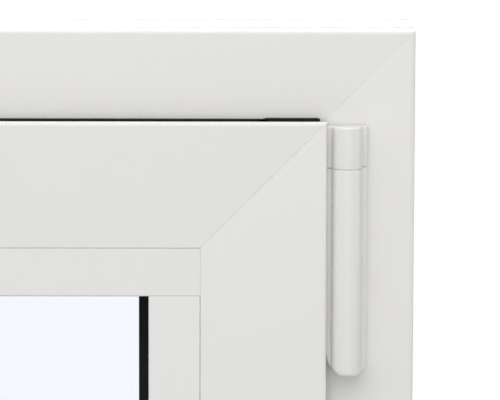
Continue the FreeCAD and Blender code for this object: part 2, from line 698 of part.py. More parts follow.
def grip(axis_x, grip_y, axis_z):
    """Return the grip: its front view and its side view, crossed, with rounded edges.

    It narrows and leans to the room towards its tip.
    """
    top = axis_z + NECK_RADIUS
    tip = top - GRIP_LENGTH
    tip_y = grip_y - GRIP_SWEEP
    half_top = GRIP_WIDTH / 2.0
    half_tip = GRIP_TIP_WIDTH / 2.0
    front_view = [(axis_x - half_top, top, GRIP_CORNER), (axis_x + half_top, top, GRIP_CORNER),
                  (axis_x + half_tip, tip, GRIP_CORNER), (axis_x - half_tip, tip, GRIP_CORNER)]
    front = grip_y - GRIP_STAND_OFF
    blank = Part.Face(rounded_wire(front_view, lambda x, z: Vector(x, front, z)))
    blank = blank.extrude(Vector(0.0, 2.0 * GRIP_STAND_OFF, 0.0))
    side_view = [
        Vector(axis_x - GRIP_WIDTH, grip_y - GRIP_THICKNESS / 2.0, top + REACH),
        Vector(axis_x - GRIP_WIDTH, grip_y + GRIP_THICKNESS / 2.0, top + REACH),
        Vector(axis_x - GRIP_WIDTH, grip_y + GRIP_THICKNESS / 2.0, top),
        Vector(axis_x - GRIP_WIDTH, tip_y + GRIP_TIP_THICKNESS / 2.0, tip - REACH),
        Vector(axis_x - GRIP_WIDTH, tip_y - GRIP_TIP_THICKNESS / 2.0, tip - REACH),
        Vector(axis_x - GRIP_WIDTH, grip_y - GRIP_THICKNESS / 2.0, top),
    ]
    sweep = Part.Face(Part.makePolygon(side_view + side_view[:1]))
    sweep = sweep.extrude(Vector(2.0 * GRIP_WIDTH, 0.0, 0.0))
    bar = blank.common(sweep)
    faces = [face for face in bar.Faces if abs(face.normalAt(0.0, 0.0).y) > 0.9]
    edges = [edge for face in faces for edge in face.Edges]
    return bar.makeFillet(GRIP_ROUND, edges)


# Drain covers

def drain_cover(side):
    """Return one louvred drain cover on the outside of the sill."""
    middle_x = side * (HALF_WIDTH - DRAIN_INSET)
    middle_z = FRAME_BODY / 2.0
    face_y = FRAME_DEPTH - HALF_DEPTH
    plate = rounded_plate(middle_x, middle_z, DRAIN_LENGTH, DRAIN_HEIGHT, DRAIN_ROUND, face_y)
    body = plate.extrude(Vector(0.0, DRAIN_THICKNESS, 0.0))
    slot_length = DRAIN_LENGTH - 4.0 * DRAIN_ROUND
    slot_low = middle_z - DRAIN_HEIGHT / 2.0 + DRAIN_ROUND
    slot = Part.makeBox(slot_length, DRAIN_THICKNESS, DRAIN_LOUVRE,
                        Vector(middle_x - slot_length / 2.0, face_y + DRAIN_LOUVRE, slot_low))
    return single_solid(body.cut(slot))


def all_parts():
    """Return every piece of the window by name."""
    parts = {}
    parts.update(frame_bars())
    parts.update(sash_bars())
    parts["frame_seal"] = frame_seal()
    parts["sash_seal"] = sash_seal()
    parts["outer_glazing_seal"] = outer_glazing_seal()
    parts.update(glass_parts())
    parts["glazing_blocks"] = glazing_blocks()
    parts.update(bead_parts())
    parts.update(hinge_parts())
    parts.update(handle_parts())
    parts["drain_cover_left"] = drain_cover(-1.0)
    parts["drain_cover_right"] = drain_cover(1.0)
    return parts


def main():
    """Build the pieces and write one file for each."""
    os.makedirs("parts", exist_ok=True)
    for name, shape in all_parts().items():
        if not shape.isValid():
            raise ValueError(name + " is not a valid solid")
        shape.exportStep("parts/" + name + ".step")
        print("%-24s solids %d volume %10.1f" % (name, len(shape.Solids), shape.Volume))


main()
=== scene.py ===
"""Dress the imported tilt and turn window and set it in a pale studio.

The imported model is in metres. Sizes here are in millimetres, as on a maker's drawing, and
METRE turns them into metres. A section is drawn in u, inwards from the frame's outer edge,
and y, outwards from the frame's room face, as in the part's own source. X runs towards the
hinge side, Y to the open air and Z up.
"""
import json
import logging
import math
from dataclasses import dataclass
from enum import Enum
from typing import Any, Sequence

import bmesh
import bpy
from mathutils import Euler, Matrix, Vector


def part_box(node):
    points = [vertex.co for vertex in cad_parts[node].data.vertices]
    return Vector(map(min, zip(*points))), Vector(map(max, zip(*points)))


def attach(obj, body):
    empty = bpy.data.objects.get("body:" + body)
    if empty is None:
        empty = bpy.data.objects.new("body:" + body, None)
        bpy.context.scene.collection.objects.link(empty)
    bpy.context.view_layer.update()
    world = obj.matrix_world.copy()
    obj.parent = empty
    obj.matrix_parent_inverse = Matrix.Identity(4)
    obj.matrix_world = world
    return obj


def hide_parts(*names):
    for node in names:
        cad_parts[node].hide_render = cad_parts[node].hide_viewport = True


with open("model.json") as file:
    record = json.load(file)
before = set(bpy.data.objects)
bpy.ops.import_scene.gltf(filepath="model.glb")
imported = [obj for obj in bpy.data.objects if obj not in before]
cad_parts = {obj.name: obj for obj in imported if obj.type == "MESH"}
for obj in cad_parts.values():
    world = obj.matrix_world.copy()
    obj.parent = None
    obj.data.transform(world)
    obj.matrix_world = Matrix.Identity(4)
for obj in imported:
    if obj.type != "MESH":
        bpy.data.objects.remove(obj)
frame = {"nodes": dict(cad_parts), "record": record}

METRE = 0.001
BODY = "root"
LOG = logging.getLogger("tilt_and_turn_window")
# The attribute that keeps the place of each point in its own bar.
BAR_POINT = "bar_point"
# Edges that turn by more stay sharp.
SHARP_ANGLE = math.radians(35.0)
# An outline's hold, in millimetres, where its sides are short.
SHORT_HOLD = 0.05

Point = tuple[float, float]
Corner = tuple[float, float, float]
Colour = tuple[float, float, float]
Axis = tuple[float, float, float]

RIGHT: Axis = (1.0, 0.0, 0.0)
LEFT: Axis = (-1.0, 0.0, 0.0)
OUTWARDS: Axis = (0.0, 1.0, 0.0)
INWARDS: Axis = (0.0, -1.0, 0.0)
UP: Axis = (0.0, 0.0, 1.0)
DOWN: Axis = (0.0, 0.0, -1.0)


class Side(Enum):
    """One side of the window, seen from the room."""

    HEAD = "head"
    SILL = "sill"
    HANDLE = "left"
    HINGE = "right"

    @property
    def level(self) -> bool:
        """Whether the side's bars lie level."""
        return self in (Side.HEAD, Side.SILL)


class Ends(Enum):
    """How a bar meets its neighbours."""

    MITRED = 1.0
    SQUARE = 0.0


class Slot(Enum):
    """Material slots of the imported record."""

    FRAME_PLASTIC = "frame_plastic"
    SASH_PLASTIC = "sash_plastic"
    BEAD_PLASTIC = "bead_plastic"
    SEAL_RUBBER = "seal_rubber"
    CLEAR_GLASS = "clear_glass"
    SPACER_PLASTIC = "spacer_plastic"
    BLOCK_PLASTIC = "block_plastic"
    COVER_PLASTIC = "cover_plastic"
    PIN_STEEL = "pin_steel"
    HANDLE_METAL = "handle_metal"


class NodeSheet:
    """A node tree that is being drawn up."""

    def __init__(self, tree: bpy.types.NodeTree) -> None:
        """Start on a tree.

        Args:
            tree: The geometry or shader tree to add to.
        """
        self.tree = tree

    def add(self, kind: str, inputs: dict[Any, Any] | None = None, **settings: Any
            ) -> bpy.types.Node:
        """Add one node.

        Args:
            kind: Blender's name of the node type.
            inputs: Values or sockets by input name or number.
            settings: Attributes of the node itself.

        Returns:
            The new node.
        """
        node = self.tree.nodes.new(kind)
        for name, value in settings.items():
            setattr(node, name, value)
        for key, value in (inputs or {}).items():
            self.feed(node.inputs[key], value)
        return node

    def feed(self, socket: bpy.types.NodeSocket, value: Any) -> None:
        """Link a socket to another, or set its own value.

        Args:
            socket: The input socket.
            value: Another node's output socket, or a plain value.
        """
        if isinstance(value, bpy.types.NodeSocket):
            self.tree.links.new(value, socket)
        else:
            socket.default_value = value

    def math(self, operation: str, *values: Any) -> bpy.types.NodeSocket:
        """Return the result of a math node on the values."""
        node = self.add("ShaderNodeMath", dict(enumerate(values)), operation=operation)
        return node.outputs[0]

    def vector(self, operation: str, *values: Any) -> bpy.types.NodeSocket:
        """Return the vector result of a vector math node on the values."""
        node = self.add("ShaderNodeVectorMath", dict(enumerate(values)), operation=operation)
        return node.outputs["Vector"]

    def scaled(self, vector: Any, factor: Any) -> bpy.types.NodeSocket:
        """Return a vector times a number."""
        node = self.add("ShaderNodeVectorMath", {0: vector, "Scale": factor}, operation="SCALE")
        return node.outputs["Vector"]

    def choose(self, flag: bpy.types.NodeSocket, if_false: Any, if_true: Any
               ) -> bpy.types.NodeSocket:
        """Return one of two numbers."""
        node = self.add("GeometryNodeSwitch", {"Switch": flag, "False": if_false,
                                               "True": if_true}, input_type="FLOAT")
        return node.outputs[0]

    def attribute(self, name: str, data_type: str) -> bpy.types.NodeSocket:
        """Return a named attribute of the geometry."""
        node = self.add("GeometryNodeInputNamedAttribute", {"Name": name}, data_type=data_type)
        return node.outputs["Attribute"]


@dataclass(frozen=True)
class Outline:
    """Closed outline of a section in millimetres.

    Attributes:
        corners: Corners as (a, b, radius), in order.
        steps: Facets of each round corner.
        hold: Distance from an arc to the extra point that keeps the flat beside it flat.
    """

    corners: tuple[Corner, ...]
    steps: int = 8
    hold: float = 0.2

    def points(self) -> list[Point]:
        """Work out the rounds.

        Returns:
            The outline's points, anticlockwise.
        """
        found: list[Point] = []
        count = len(self.corners)
        for i, (a, b, radius) in enumerate(self.corners):
            before = self.corners[i - 1]
            after = self.corners[(i + 1) % count]
            found += self.round_corner((a, b), before[:2], after[:2], radius)
        area = sum(p[0] * q[1] - q[0] * p[1] for p, q in zip(found, found[1:] + found[:1]))
        return found if area > 0.0 else found[::-1]

    def round_corner(self, corner: Point, before: Point, after: Point, radius: float
                     ) -> list[Point]:
        """Return the points of one corner.

        Args:
            corner: The corner itself.
            before: The corner ahead of it in the outline.
            after: The next corner.
            radius: Radius of the round, or 0 for a sharp corner.

        Returns:
            The points, with one hold point on each side of an arc.
        """
        if radius <= 0.0:
            return [corner]
        here = Vector(corner)
        back = (Vector(before) - here).normalized()
        ahead = (Vector(after) - here).normalized()
        half_angle = back.angle(ahead) / 2.0
        run = radius / math.tan(half_angle)
        centre = here + (back + ahead).normalized() * (radius / math.sin(half_angle))
        start = here + back * run - centre
        turn = start.angle_signed(here + ahead * run - centre)
        points = [here + back * (run + self.hold)]
        for step in range(self.steps + 1):
            angle = -turn * step / self.steps
            cosine, sine = math.cos(angle), math.sin(angle)
            points.append(centre + Vector((start.x * cosine - start.y * sine,
                                           start.x * sine + start.y * cosine)))
        points.append(here + ahead * (run + self.hold))
        return [(point.x, point.y) for point in points]

    def section(self, ends: Ends) -> "Section":
        """Make a section with plain ends.

        Args:
            ends: Whether the bar is cut square or mitred at 45 degrees.

        Returns:
            The section.
        """
        points = self.points()
        back = [ends.value * point[0] for point in points]
        return Section(points, back, back)


@dataclass(frozen=True)
class Section:
    """Closed section of a bar, in millimetres.

    Attributes:
        points: Its points, anticlockwise.
        low: How far the bar's low end stands back at each point.
        high: The same at the high end.
    """

    points: Sequence[Point]
    low: Sequence[float]
    high: Sequence[float]

    def mesh(self, name: str) -> bpy.types.Mesh:
        """Draw the section as a closed loop, in metres.

        Args:
            name: Name of the mesh.

        Returns:
            The loop. Each point keeps the vector into the material in the attribute "into" and
            the set-backs of both ends in "set_back".
        """
        points = self.points
        count = len(points)
        mesh = bpy.data.meshes.new(name)
        mesh.from_pydata([(a * METRE, b * METRE, 0.0) for a, b in points],
                         [(i, (i + 1) % count) for i in range(count)], [])
        into = mesh.attributes.new("into", "FLOAT_VECTOR", "POINT")
        set_back = mesh.attributes.new("set_back", "FLOAT_VECTOR", "POINT")
        for i, here in enumerate(points):
            normals = []
            for first, second in ((points[i - 1], here), (here, points[(i + 1) % count])):
                edge = (Vector(second) - Vector(first)).normalized()
                normals.append(Vector((-edge.y, edge.x)))
            bisector = (normals[0] + normals[1]) / (1.0 + normals[0].dot(normals[1]))
            into.data[i].vector = (bisector.x, bisector.y, 0.0)
            set_back.data[i].vector = (self.low[i] * METRE, self.high[i] * METRE, 0.0)
        return mesh


@dataclass(frozen=True)
class Placing:
    """Where a sweep's own axes lie in the window.

    Attributes:
        origin: Where the section's origin stands, in metres.
        across: Direction of the section's first axis.
        depth: Direction of its second axis.
        along: Direction of the sweep.
    """

    origin: Axis
    across: Axis
    depth: Axis
    along: Axis

    def turns_inside_out(self) -> bool:
        """Return whether the three directions are left-handed."""
        return Vector(self.across).dot(Vector(self.depth).cross(Vector(self.along))) < 0.0


@dataclass(frozen=True)
class EndShape:
    """Rounded end of a sweep, in millimetres.

    Attributes:
        length: How far the round reaches along the sweep.
        inset: How far the section is drawn in at the very end.
    """

    length: float
    inset: float


# A plain cut, as at the end of a seal.
CUT = EndShape(0.05, 0.0)


class SectionSweep:
    """Geometry Nodes tree that runs a section along a bar, with shaped and rounded ends."""

    STATIONS = 7
    FLOATS = ("Start", "End", "Low length", "Low inset", "High length", "High inset")
    VECTORS = ("Origin", "Across", "Depth", "Along")

    def __init__(self) -> None:
        """Build the tree once for all bars."""
        self.tree = bpy.data.node_groups.new("section_sweep", "GeometryNodeTree")
        face = self.tree.interface
        face.new_socket("Section", in_out="INPUT", socket_type="NodeSocketGeometry")
        for name in self.FLOATS:
            face.new_socket(name, in_out="INPUT", socket_type="NodeSocketFloat")
        for name in self.VECTORS:
            face.new_socket(name, in_out="INPUT", socket_type="NodeSocketVector")
        face.new_socket("Inside out", in_out="INPUT", socket_type="NodeSocketBool")
        face.new_socket("Finish", in_out="INPUT", socket_type="NodeSocketMaterial")
        face.new_socket("Bar", in_out="OUTPUT", socket_type="NodeSocketGeometry")
        self.draw()

    def draw(self) -> None:
        """Add the nodes: path, sweep, shaped ends, placing and finish."""
        sheet = NodeSheet(self.tree)
        given = sheet.add("NodeGroupInput").outputs
        path = self.draw_path(sheet, given)
        profile = sheet.add("GeometryNodeMeshToCurve", {"Mesh": given["Section"]})
        bar = sheet.add("GeometryNodeCurveToMesh", {
            "Curve": path, "Profile Curve": profile.outputs[0], "Fill Caps": True})
        drawn_in = sheet.scaled(sheet.attribute("into", "FLOAT_VECTOR"),
                                sheet.attribute("inset", "FLOAT"))
        here = sheet.add("GeometryNodeInputPosition").outputs[0]
        shaped = sheet.add("ShaderNodeSeparateXYZ", {0: sheet.vector("ADD", here, drawn_in)})
        u, y, z = shaped.outputs
        share = sheet.math("DIVIDE", sheet.math("SUBTRACT", z, given["Start"]),
                           sheet.math("SUBTRACT", given["End"], given["Start"]))
        back = sheet.add("ShaderNodeSeparateXYZ", {
            0: sheet.attribute("set_back", "FLOAT_VECTOR")}).outputs
        low = sheet.math("MULTIPLY", back[0], sheet.math("SUBTRACT", 1.0, share))
        lean = sheet.math("SUBTRACT", low, sheet.math("MULTIPLY", back[1], share))
        along = sheet.math("ADD", z, lean)
        local = sheet.add("ShaderNodeCombineXYZ", {0: u, 1: y, 2: along}).outputs[0]
        marked = sheet.add("GeometryNodeStoreNamedAttribute", {
            "Geometry": bar.outputs[0], "Name": BAR_POINT, "Value": local},
            data_type="FLOAT_VECTOR", domain="POINT")
        place = given["Origin"]
        for direction, amount in (("Across", u), ("Depth", y), ("Along", along)):
            place = sheet.vector("ADD", place, sheet.scaled(given[direction], amount))
        placed = sheet.add("GeometryNodeSetPosition", {
            "Geometry": marked.outputs[0], "Position": place})
        turned = sheet.add("GeometryNodeFlipFaces", {
            "Mesh": placed.outputs[0], "Selection": given["Inside out"]})
        real = sheet.add("GeometryNodeRealizeInstances", {"Geometry": turned.outputs[0]})
        finished = sheet.add("GeometryNodeSetMaterial", {
            "Geometry": real.outputs[0], "Material": given["Finish"]})
        sheet.add("NodeGroupOutput", {0: finished.outputs[0]})

    def draw_path(self, sheet: NodeSheet, given: Any) -> bpy.types.NodeSocket:
        """Add the path, whose stations crowd together at both ends.

        Args:
            sheet: The sheet to draw on.
            given: The group's input sockets.

        Returns:
            The path as a curve, with the draw-in at each station in the attribute "inset".
        """
        count = 2 * self.STATIONS
        line = sheet.add("GeometryNodeMeshLine", {"Count": count, "Offset": (0.0, 0.0, METRE)})
        index = sheet.add("GeometryNodeInputIndex").outputs[0]
        far = sheet.add("FunctionNodeCompare", {"A": index, "B": self.STATIONS - 0.5},
                        operation="GREATER_THAN", data_type="FLOAT").outputs[0]
        step = sheet.choose(far, index, sheet.math("SUBTRACT", count - 1.0, index))
        angle = sheet.math("MULTIPLY", step, math.pi / 2.0 / (self.STATIONS - 1))
        run = sheet.math("SUBTRACT", 1.0, sheet.math("COSINE", angle))
        press = sheet.math("SUBTRACT", 1.0, sheet.math("SINE", angle))
        near_z = sheet.math("ADD", given["Start"],
                            sheet.math("MULTIPLY", run, given["Low length"]))
        far_z = sheet.math("SUBTRACT", given["End"],
                           sheet.math("MULTIPLY", run, given["High length"]))
        inset = sheet.math("MULTIPLY", press,
                           sheet.choose(far, given["Low inset"], given["High inset"]))
        kept = sheet.add("GeometryNodeStoreNamedAttribute", {
            "Geometry": line.outputs[0], "Name": "inset", "Value": inset},
            data_type="FLOAT", domain="POINT")
        station = sheet.add("ShaderNodeCombineXYZ", {2: sheet.choose(far, near_z, far_z)})
        moved = sheet.add("GeometryNodeSetPosition", {
            "Geometry": kept.outputs[0], "Position": station.outputs[0]})
        return sheet.add("GeometryNodeMeshToCurve", {"Mesh": moved.outputs[0]}).outputs[0]

    def run(self, name: str, section: Section, placing: Placing, start: float, end: float,
            low: EndShape, high: EndShape, finish: bpy.types.Material) -> bpy.types.Object:
        """Sweep one section.

        Args:
            name: Name of the piece.
            section: The section, with the set-backs of its ends.
            placing: Where the sweep lies.
            start: Where the bar starts along its direction, in millimetres.
            end: Where it ends.
            low: Round of the end at start.
            high: Round of the other end.
            finish: The bar's material.

        Returns:
            The piece, as a plain mesh without modifiers.
        """
        values = {
            "Start": start * METRE, "End": end * METRE,
            "Low length": low.length * METRE, "Low inset": low.inset * METRE,
            "High length": high.length * METRE, "High inset": high.inset * METRE,
            "Origin": placing.origin, "Across": placing.across, "Depth": placing.depth,
            "Along": placing.along, "Inside out": placing.turns_inside_out(),
            "Finish": finish,
        }
        return grow(name, section.mesh(name), self.tree, values)


def put(name: str, data: bpy.types.ID) -> bpy.types.Object:
    """Put an object into the scene.

    Args:
        name: Its name.
        data: The mesh, lamp or camera that it holds.

    Returns:
        The object, at the origin.
    """
    held = bpy.data.objects.new(name, data)
    bpy.context.scene.collection.objects.link(held)
    return held


def plain_mesh(name: str, work: bmesh.types.BMesh) -> bpy.types.Mesh:
    """Turn a work mesh into a plain one.

    Args:
        name: Name of the plain mesh.
        work: The work mesh, which is freed.

    Returns:
        The plain mesh.
    """
    mesh = bpy.data.meshes.new(name)
    work.to_mesh(mesh)
    work.free()
    return mesh


def make_plain(piece: bpy.types.Object) -> None:
    """Give a piece the mesh that its modifiers make, shaded smooth, and take them off.

    Args:
        piece: The piece.
    """
    graph = bpy.context.evaluated_depsgraph_get()
    made = bpy.data.meshes.new_from_object(piece.evaluated_get(graph),
                                           preserve_all_data_layers=True, depsgraph=graph)
    drawn = piece.data
    piece.modifiers.clear()
    piece.data = made
    bpy.data.meshes.remove(drawn)
    made.name = piece.name
    made.shade_smooth()


def grow(name: str, mesh: bpy.types.Mesh, tree: bpy.types.NodeTree,
         values: dict[str, Any]) -> bpy.types.Object:
    """Run a Geometry Nodes tree on a mesh and keep its result.

    Args:
        name: Name of the finished piece.
        mesh: What the tree starts from.
        tree: The tree.
        values: Its inputs by name.

    Returns:
        The piece, smooth except over sharp edges.
    """
    piece = put(name, mesh)
    modifier = piece.modifiers.new("grow", "NODES")
    modifier.node_group = tree
    sockets = {item.name: item.identifier for item in tree.interface.items_tree
               if item.in_out == "INPUT"}
    for label, value in values.items():
        modifier[sockets[label]] = value
    piece.update_tag()
    make_plain(piece)
    piece.data.set_sharp_from_angle(angle=SHARP_ANGLE)
    return piece


def join(name: str, pieces: Sequence[bpy.types.Object]) -> bpy.types.Object:
    """Join pieces into the first one and rename it.

    Args:
        name: Name of the joined piece.
        pieces: The pieces, which share one finish.

    Returns:
        The joined piece.
    """
    main_piece = pieces[0]
    with bpy.context.temp_override(active_object=main_piece, object=main_piece,
                                   selected_objects=list(pieces),
                                   selected_editable_objects=list(pieces)):
        bpy.ops.object.join()
    main_piece.name = name
    main_piece.data.name = name
    return main_piece


def settle(piece: bpy.types.Object, node: str) -> None:
    """Args:
        piece: The piece, in place.
        node: The CAD node that it stands for.
    """
    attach(piece, BODY)
    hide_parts(node)
    LOG.info("%s: %d faces", piece.name, len(piece.data.polygons))


def tinted(colour: Colour, amount: float) -> Colour:
    """Return a colour made lighter or darker by a share of itself."""
    return (colour[0] * (1.0 + amount), colour[1] * (1.0 + amount), colour[2] * (1.0 + amount))


class FinishSheet(NodeSheet):
    """The node tree of one material, with what most finishes need."""

    def __init__(self, name: str) -> None:
        """Start a material.

        Args:
            name: Its name.
        """
        self.material = bpy.data.materials.new(name)
        self.material.use_nodes = True
        super().__init__(self.material.node_tree)
        self.shader = self.tree.nodes["Principled BSDF"]

    def here(self) -> bpy.types.NodeSocket:
        """Return the place on the piece, in Object coordinates."""
        return self.add("ShaderNodeTexCoord").outputs["Object"]

    def stretched(self, place: bpy.types.NodeSocket, scale: Axis, lean: float = 0.0
                  ) -> bpy.types.NodeSocket:
        """Return a place scaled along each axis, then turned about Y by lean in radians."""
        node = self.add("ShaderNodeMapping", {"Vector": place, "Rotation": (0.0, lean, 0.0),
                                              "Scale": scale})
        return node.outputs[0]

    def noise(self, place: bpy.types.NodeSocket, scale: float, detail: float,
              roughness: float = 0.5) -> bpy.types.NodeSocket:
        """Return a noise whose waves repeat scale times in each unit of the place."""
        node = self.add("ShaderNodeTexNoise", {"Vector": place, "Scale": scale,
                                               "Detail": detail, "Roughness": roughness})
        return node.outputs[0]

    def paint(self, factor: bpy.types.NodeSocket, low: Colour, high: Colour) -> None:
        """Let the colour run from low to high with a factor."""
        mix = self.add("ShaderNodeMix", {0: factor, 6: (*low, 1.0), 7: (*high, 1.0)},
                       data_type="RGBA")
        self.feed(self.shader.inputs["Base Color"], mix.outputs[2])

    def drift(self, factor: bpy.types.NodeSocket, colour: Colour, share: float) -> None:
        """Let the colour drift by a share of itself either way."""
        self.paint(factor, tinted(colour, -share), tinted(colour, share))

    def dull(self, factor: bpy.types.NodeSocket, roughness: Point,
             span: Point = (0.3, 0.7)) -> None:
        """Let the roughness run between two values.

        Args:
            factor: What it follows.
            roughness: Both values.
            span: The factor at each of them.
        """
        node = self.add("ShaderNodeMapRange", {
            "Value": factor, "From Min": span[0], "From Max": span[1],
            "To Min": roughness[0], "To Max": roughness[1]})
        self.feed(self.shader.inputs["Roughness"], node.outputs[0])

    def emboss(self, height: bpy.types.NodeSocket, strength: float, distance: float) -> None:
        """Raise the surface with a height, by up to a distance in millimetres."""
        bump = self.add("ShaderNodeBump", {"Height": height, "Strength": strength,
                                           "Distance": distance * METRE})
        self.feed(self.shader.inputs["Normal"], bump.outputs[0])

    def fix(self, **values: float) -> None:
        """Set inputs of the shader, named with underscores, that are the same all over."""
        for name, value in values.items():
            self.shader.inputs[name.replace("_", " ")].default_value = value


@dataclass(frozen=True)
class Finish:
    """The finish of one slot.

    Attributes:
        slot: The record's slot, whose name the material gets.
    """

    slot: Slot

    def material(self) -> bpy.types.Material:
        """Make the material.

        Returns:
            The material, with the finish drawn in its node tree.
        """
        sheet = FinishSheet(self.slot.value)
        self.draw(sheet)
        return sheet.material

    def draw(self, sheet: FinishSheet) -> None:
        """Draw the finish, on Object coordinates where it says nothing else."""
        raise NotImplementedError


@dataclass(frozen=True)
class ExtrudedPlastic(Finish):
    """Satin white window plastic with the faint lines that the die leaves along a bar.

    Attributes:
        colour: Middle of its colour.
        variation: Share by which the colour drifts.
        cloud: Waves of that drift in a metre.
        roughness: Lowest and highest roughness.
        line_width: Width of a die line, in millimetres.
        line_length: Length over which a line fades, in millimetres.
        line_height: How far the lines stand up, in millimetres.
        refraction: Refractive index, which sets the gloss.
    """

    colour: Colour
    variation: float = 0.008
    cloud: float = 9.0
    roughness: Point = (0.30, 0.38)
    line_width: float = 0.7
    line_length: float = 260.0
    line_height: float = 0.002
    refraction: float = 1.52

    def draw(self, sheet: FinishSheet) -> None:
        """Draw it on the coordinates that each bar keeps of its own.

        Args:
            sheet: The sheet to draw on.
        """
        here = sheet.add("ShaderNodeAttribute", attribute_name=BAR_POINT).outputs["Vector"]
        across = 1.0 / (self.line_width * METRE)
        lines = sheet.stretched(here, (across, across, 1.0 / (self.line_length * METRE)))
        die = sheet.noise(lines, scale=1.0, detail=2.0, roughness=0.6)
        sheet.drift(sheet.noise(here, self.cloud, detail=3.0), self.colour, self.variation)
        sheet.dull(die, self.roughness)
        sheet.emboss(die, strength=0.5, distance=self.line_height)
        sheet.fix(IOR=self.refraction)


@dataclass(frozen=True)
class MouldedPlastic(Finish):
    """Injection-moulded plastic with a fine even skin.

    Attributes:
        colour: Middle of its colour.
        variation: Share by which the colour drifts.
        cloud: Waves of that drift in a metre.
        roughness: Lowest and highest roughness.
        skin_size: Size of the skin's grains, in millimetres.
        skin_height: How far they stand up, in millimetres.
    """

    colour: Colour
    variation: float = 0.01
    cloud: float = 25.0
    roughness: Point = (0.30, 0.40)
    skin_size: float = 0.5
    skin_height: float = 0.004

    def draw(self, sheet: FinishSheet) -> None:
        """Draw the fine skin, with a colour and roughness that drift together.

        Args:
            sheet: The sheet to draw on.
        """
        here = sheet.here()
        cloud = sheet.noise(here, self.cloud, detail=3.0)
        grains = sheet.noise(here, 1.0 / (self.skin_size * METRE), detail=2.0)
        sheet.drift(cloud, self.colour, self.variation)
        sheet.dull(cloud, self.roughness)
        sheet.emboss(grains, strength=0.4, distance=self.skin_height)


@dataclass(frozen=True)
class SealRubber(Finish):
    """Matt black rubber with a dusty bloom.

    Attributes:
        colour: Colour of clean rubber.
        bloom: Colour where the surface has gone dull.
        cloud: Waves of the bloom in a metre.
        roughness: Lowest and highest roughness.
        grain: Waves of the fine grain in a metre.
        grain_height: How far the grain stands up, in millimetres.
        specular: Level of the surface's gloss.
    """

    colour: Colour = (0.0035, 0.0035, 0.004)
    bloom: Colour = (0.009, 0.009, 0.0095)
    cloud: float = 60.0
    roughness: Point = (0.55, 0.75)
    grain: float = 1800.0
    grain_height: float = 0.02
    specular: float = 0.12

    def draw(self, sheet: FinishSheet) -> None:
        """Draw the bloom, which is duller too, and the fine grain.

        Args:
            sheet: The sheet to draw on.
        """
        here = sheet.here()
        cloud = sheet.noise(here, self.cloud, detail=5.0)
        sheet.paint(cloud, self.colour, self.bloom)
        sheet.dull(cloud, self.roughness)
        sheet.emboss(sheet.noise(here, self.grain, detail=2.0), strength=0.5,
                     distance=self.grain_height)
        sheet.fix(Specular_IOR_Level=self.specular)


@dataclass(frozen=True)
class ClearGlass(Finish):
    """Float glass with the faint blue of a coated pane.

    Attributes:
        colour: Tint of one pane.
        variation: Share by which the tint drifts.
        smear: Highest roughness, where a cleaning cloth left its trace.
        wipe: Waves of that trace in a metre, along X, Y and Z.
        wipe_lean: Turn of the trace about Y, in radians.
        refraction: Refractive index.
    """

    colour: Colour = (0.935, 0.949, 0.987)
    variation: float = 0.003
    smear: float = 0.012
    wipe: Axis = (6.0, 6.0, 1.5)
    wipe_lean: float = 0.6
    refraction: float = 1.5

    def draw(self, sheet: FinishSheet) -> None:
        """Draw the trace of the cloth, which also shades the tint.

        Args:
            sheet: The sheet to draw on.
        """
        wiped = sheet.stretched(sheet.here(), self.wipe, self.wipe_lean)
        trace = sheet.noise(wiped, scale=2.0, detail=4.0)
        sheet.dull(trace, (0.0, self.smear), span=(0.45, 0.75))
        sheet.drift(trace, self.colour, self.variation)
        sheet.fix(Transmission_Weight=1.0, IOR=self.refraction)


@dataclass(frozen=True)
class PlatedSteel(Finish):
    """Zinc-plated steel, turned on a lathe.

    Attributes:
        colour: Colour of the plating.
        variation: Share by which it drifts.
        roughness: Lowest and highest roughness.
        rings: Waves of the tool's marks in a metre, along X, Y and Z.
    """

    colour: Colour = (0.56, 0.57, 0.58)
    variation: float = 0.06
    roughness: Point = (0.22, 0.42)
    rings: Axis = (200.0, 200.0, 4000.0)

    def draw(self, sheet: FinishSheet) -> None:
        """Draw the rings that the tool left.

        Args:
            sheet: The sheet to draw on.
        """
        rings = sheet.noise(sheet.stretched(sheet.here(), self.rings), scale=1.0, detail=3.0)
        sheet.drift(rings, self.colour, self.variation)
        sheet.dull(rings, self.roughness, span=(0.0, 1.0))
        sheet.fix(Metallic=1.0)


@dataclass(frozen=True)
class PowderCoat(Finish):
    """White powder coat with a faint orange peel.

    Attributes:
        colour: Middle of its colour.
        variation: Share by which the colour drifts.
        cloud: Waves of that drift in a metre.
        roughness: Lowest and highest roughness.
        peel_size: Size of the coat's waves, in millimetres.
        peel_height: Their height, in millimetres.
    """

    colour: Colour = (0.79, 0.785, 0.775)
    variation: float = 0.01
    cloud: float = 30.0
    roughness: Point = (0.26, 0.36)
    peel_size: float = 1.4
    peel_height: float = 0.012

    def draw(self, sheet: FinishSheet) -> None:
        """Draw the drift of the coat, and its peel.

        Args:
            sheet: The sheet to draw on.
        """
        here = sheet.here()
        cloud = sheet.noise(here, self.cloud, detail=3.0)
        sheet.drift(cloud, self.colour, self.variation)
        sheet.dull(cloud, self.roughness)
        sheet.emboss(sheet.noise(here, 1.0 / (self.peel_size * METRE), detail=1.0),
                     strength=0.5, distance=self.peel_height)


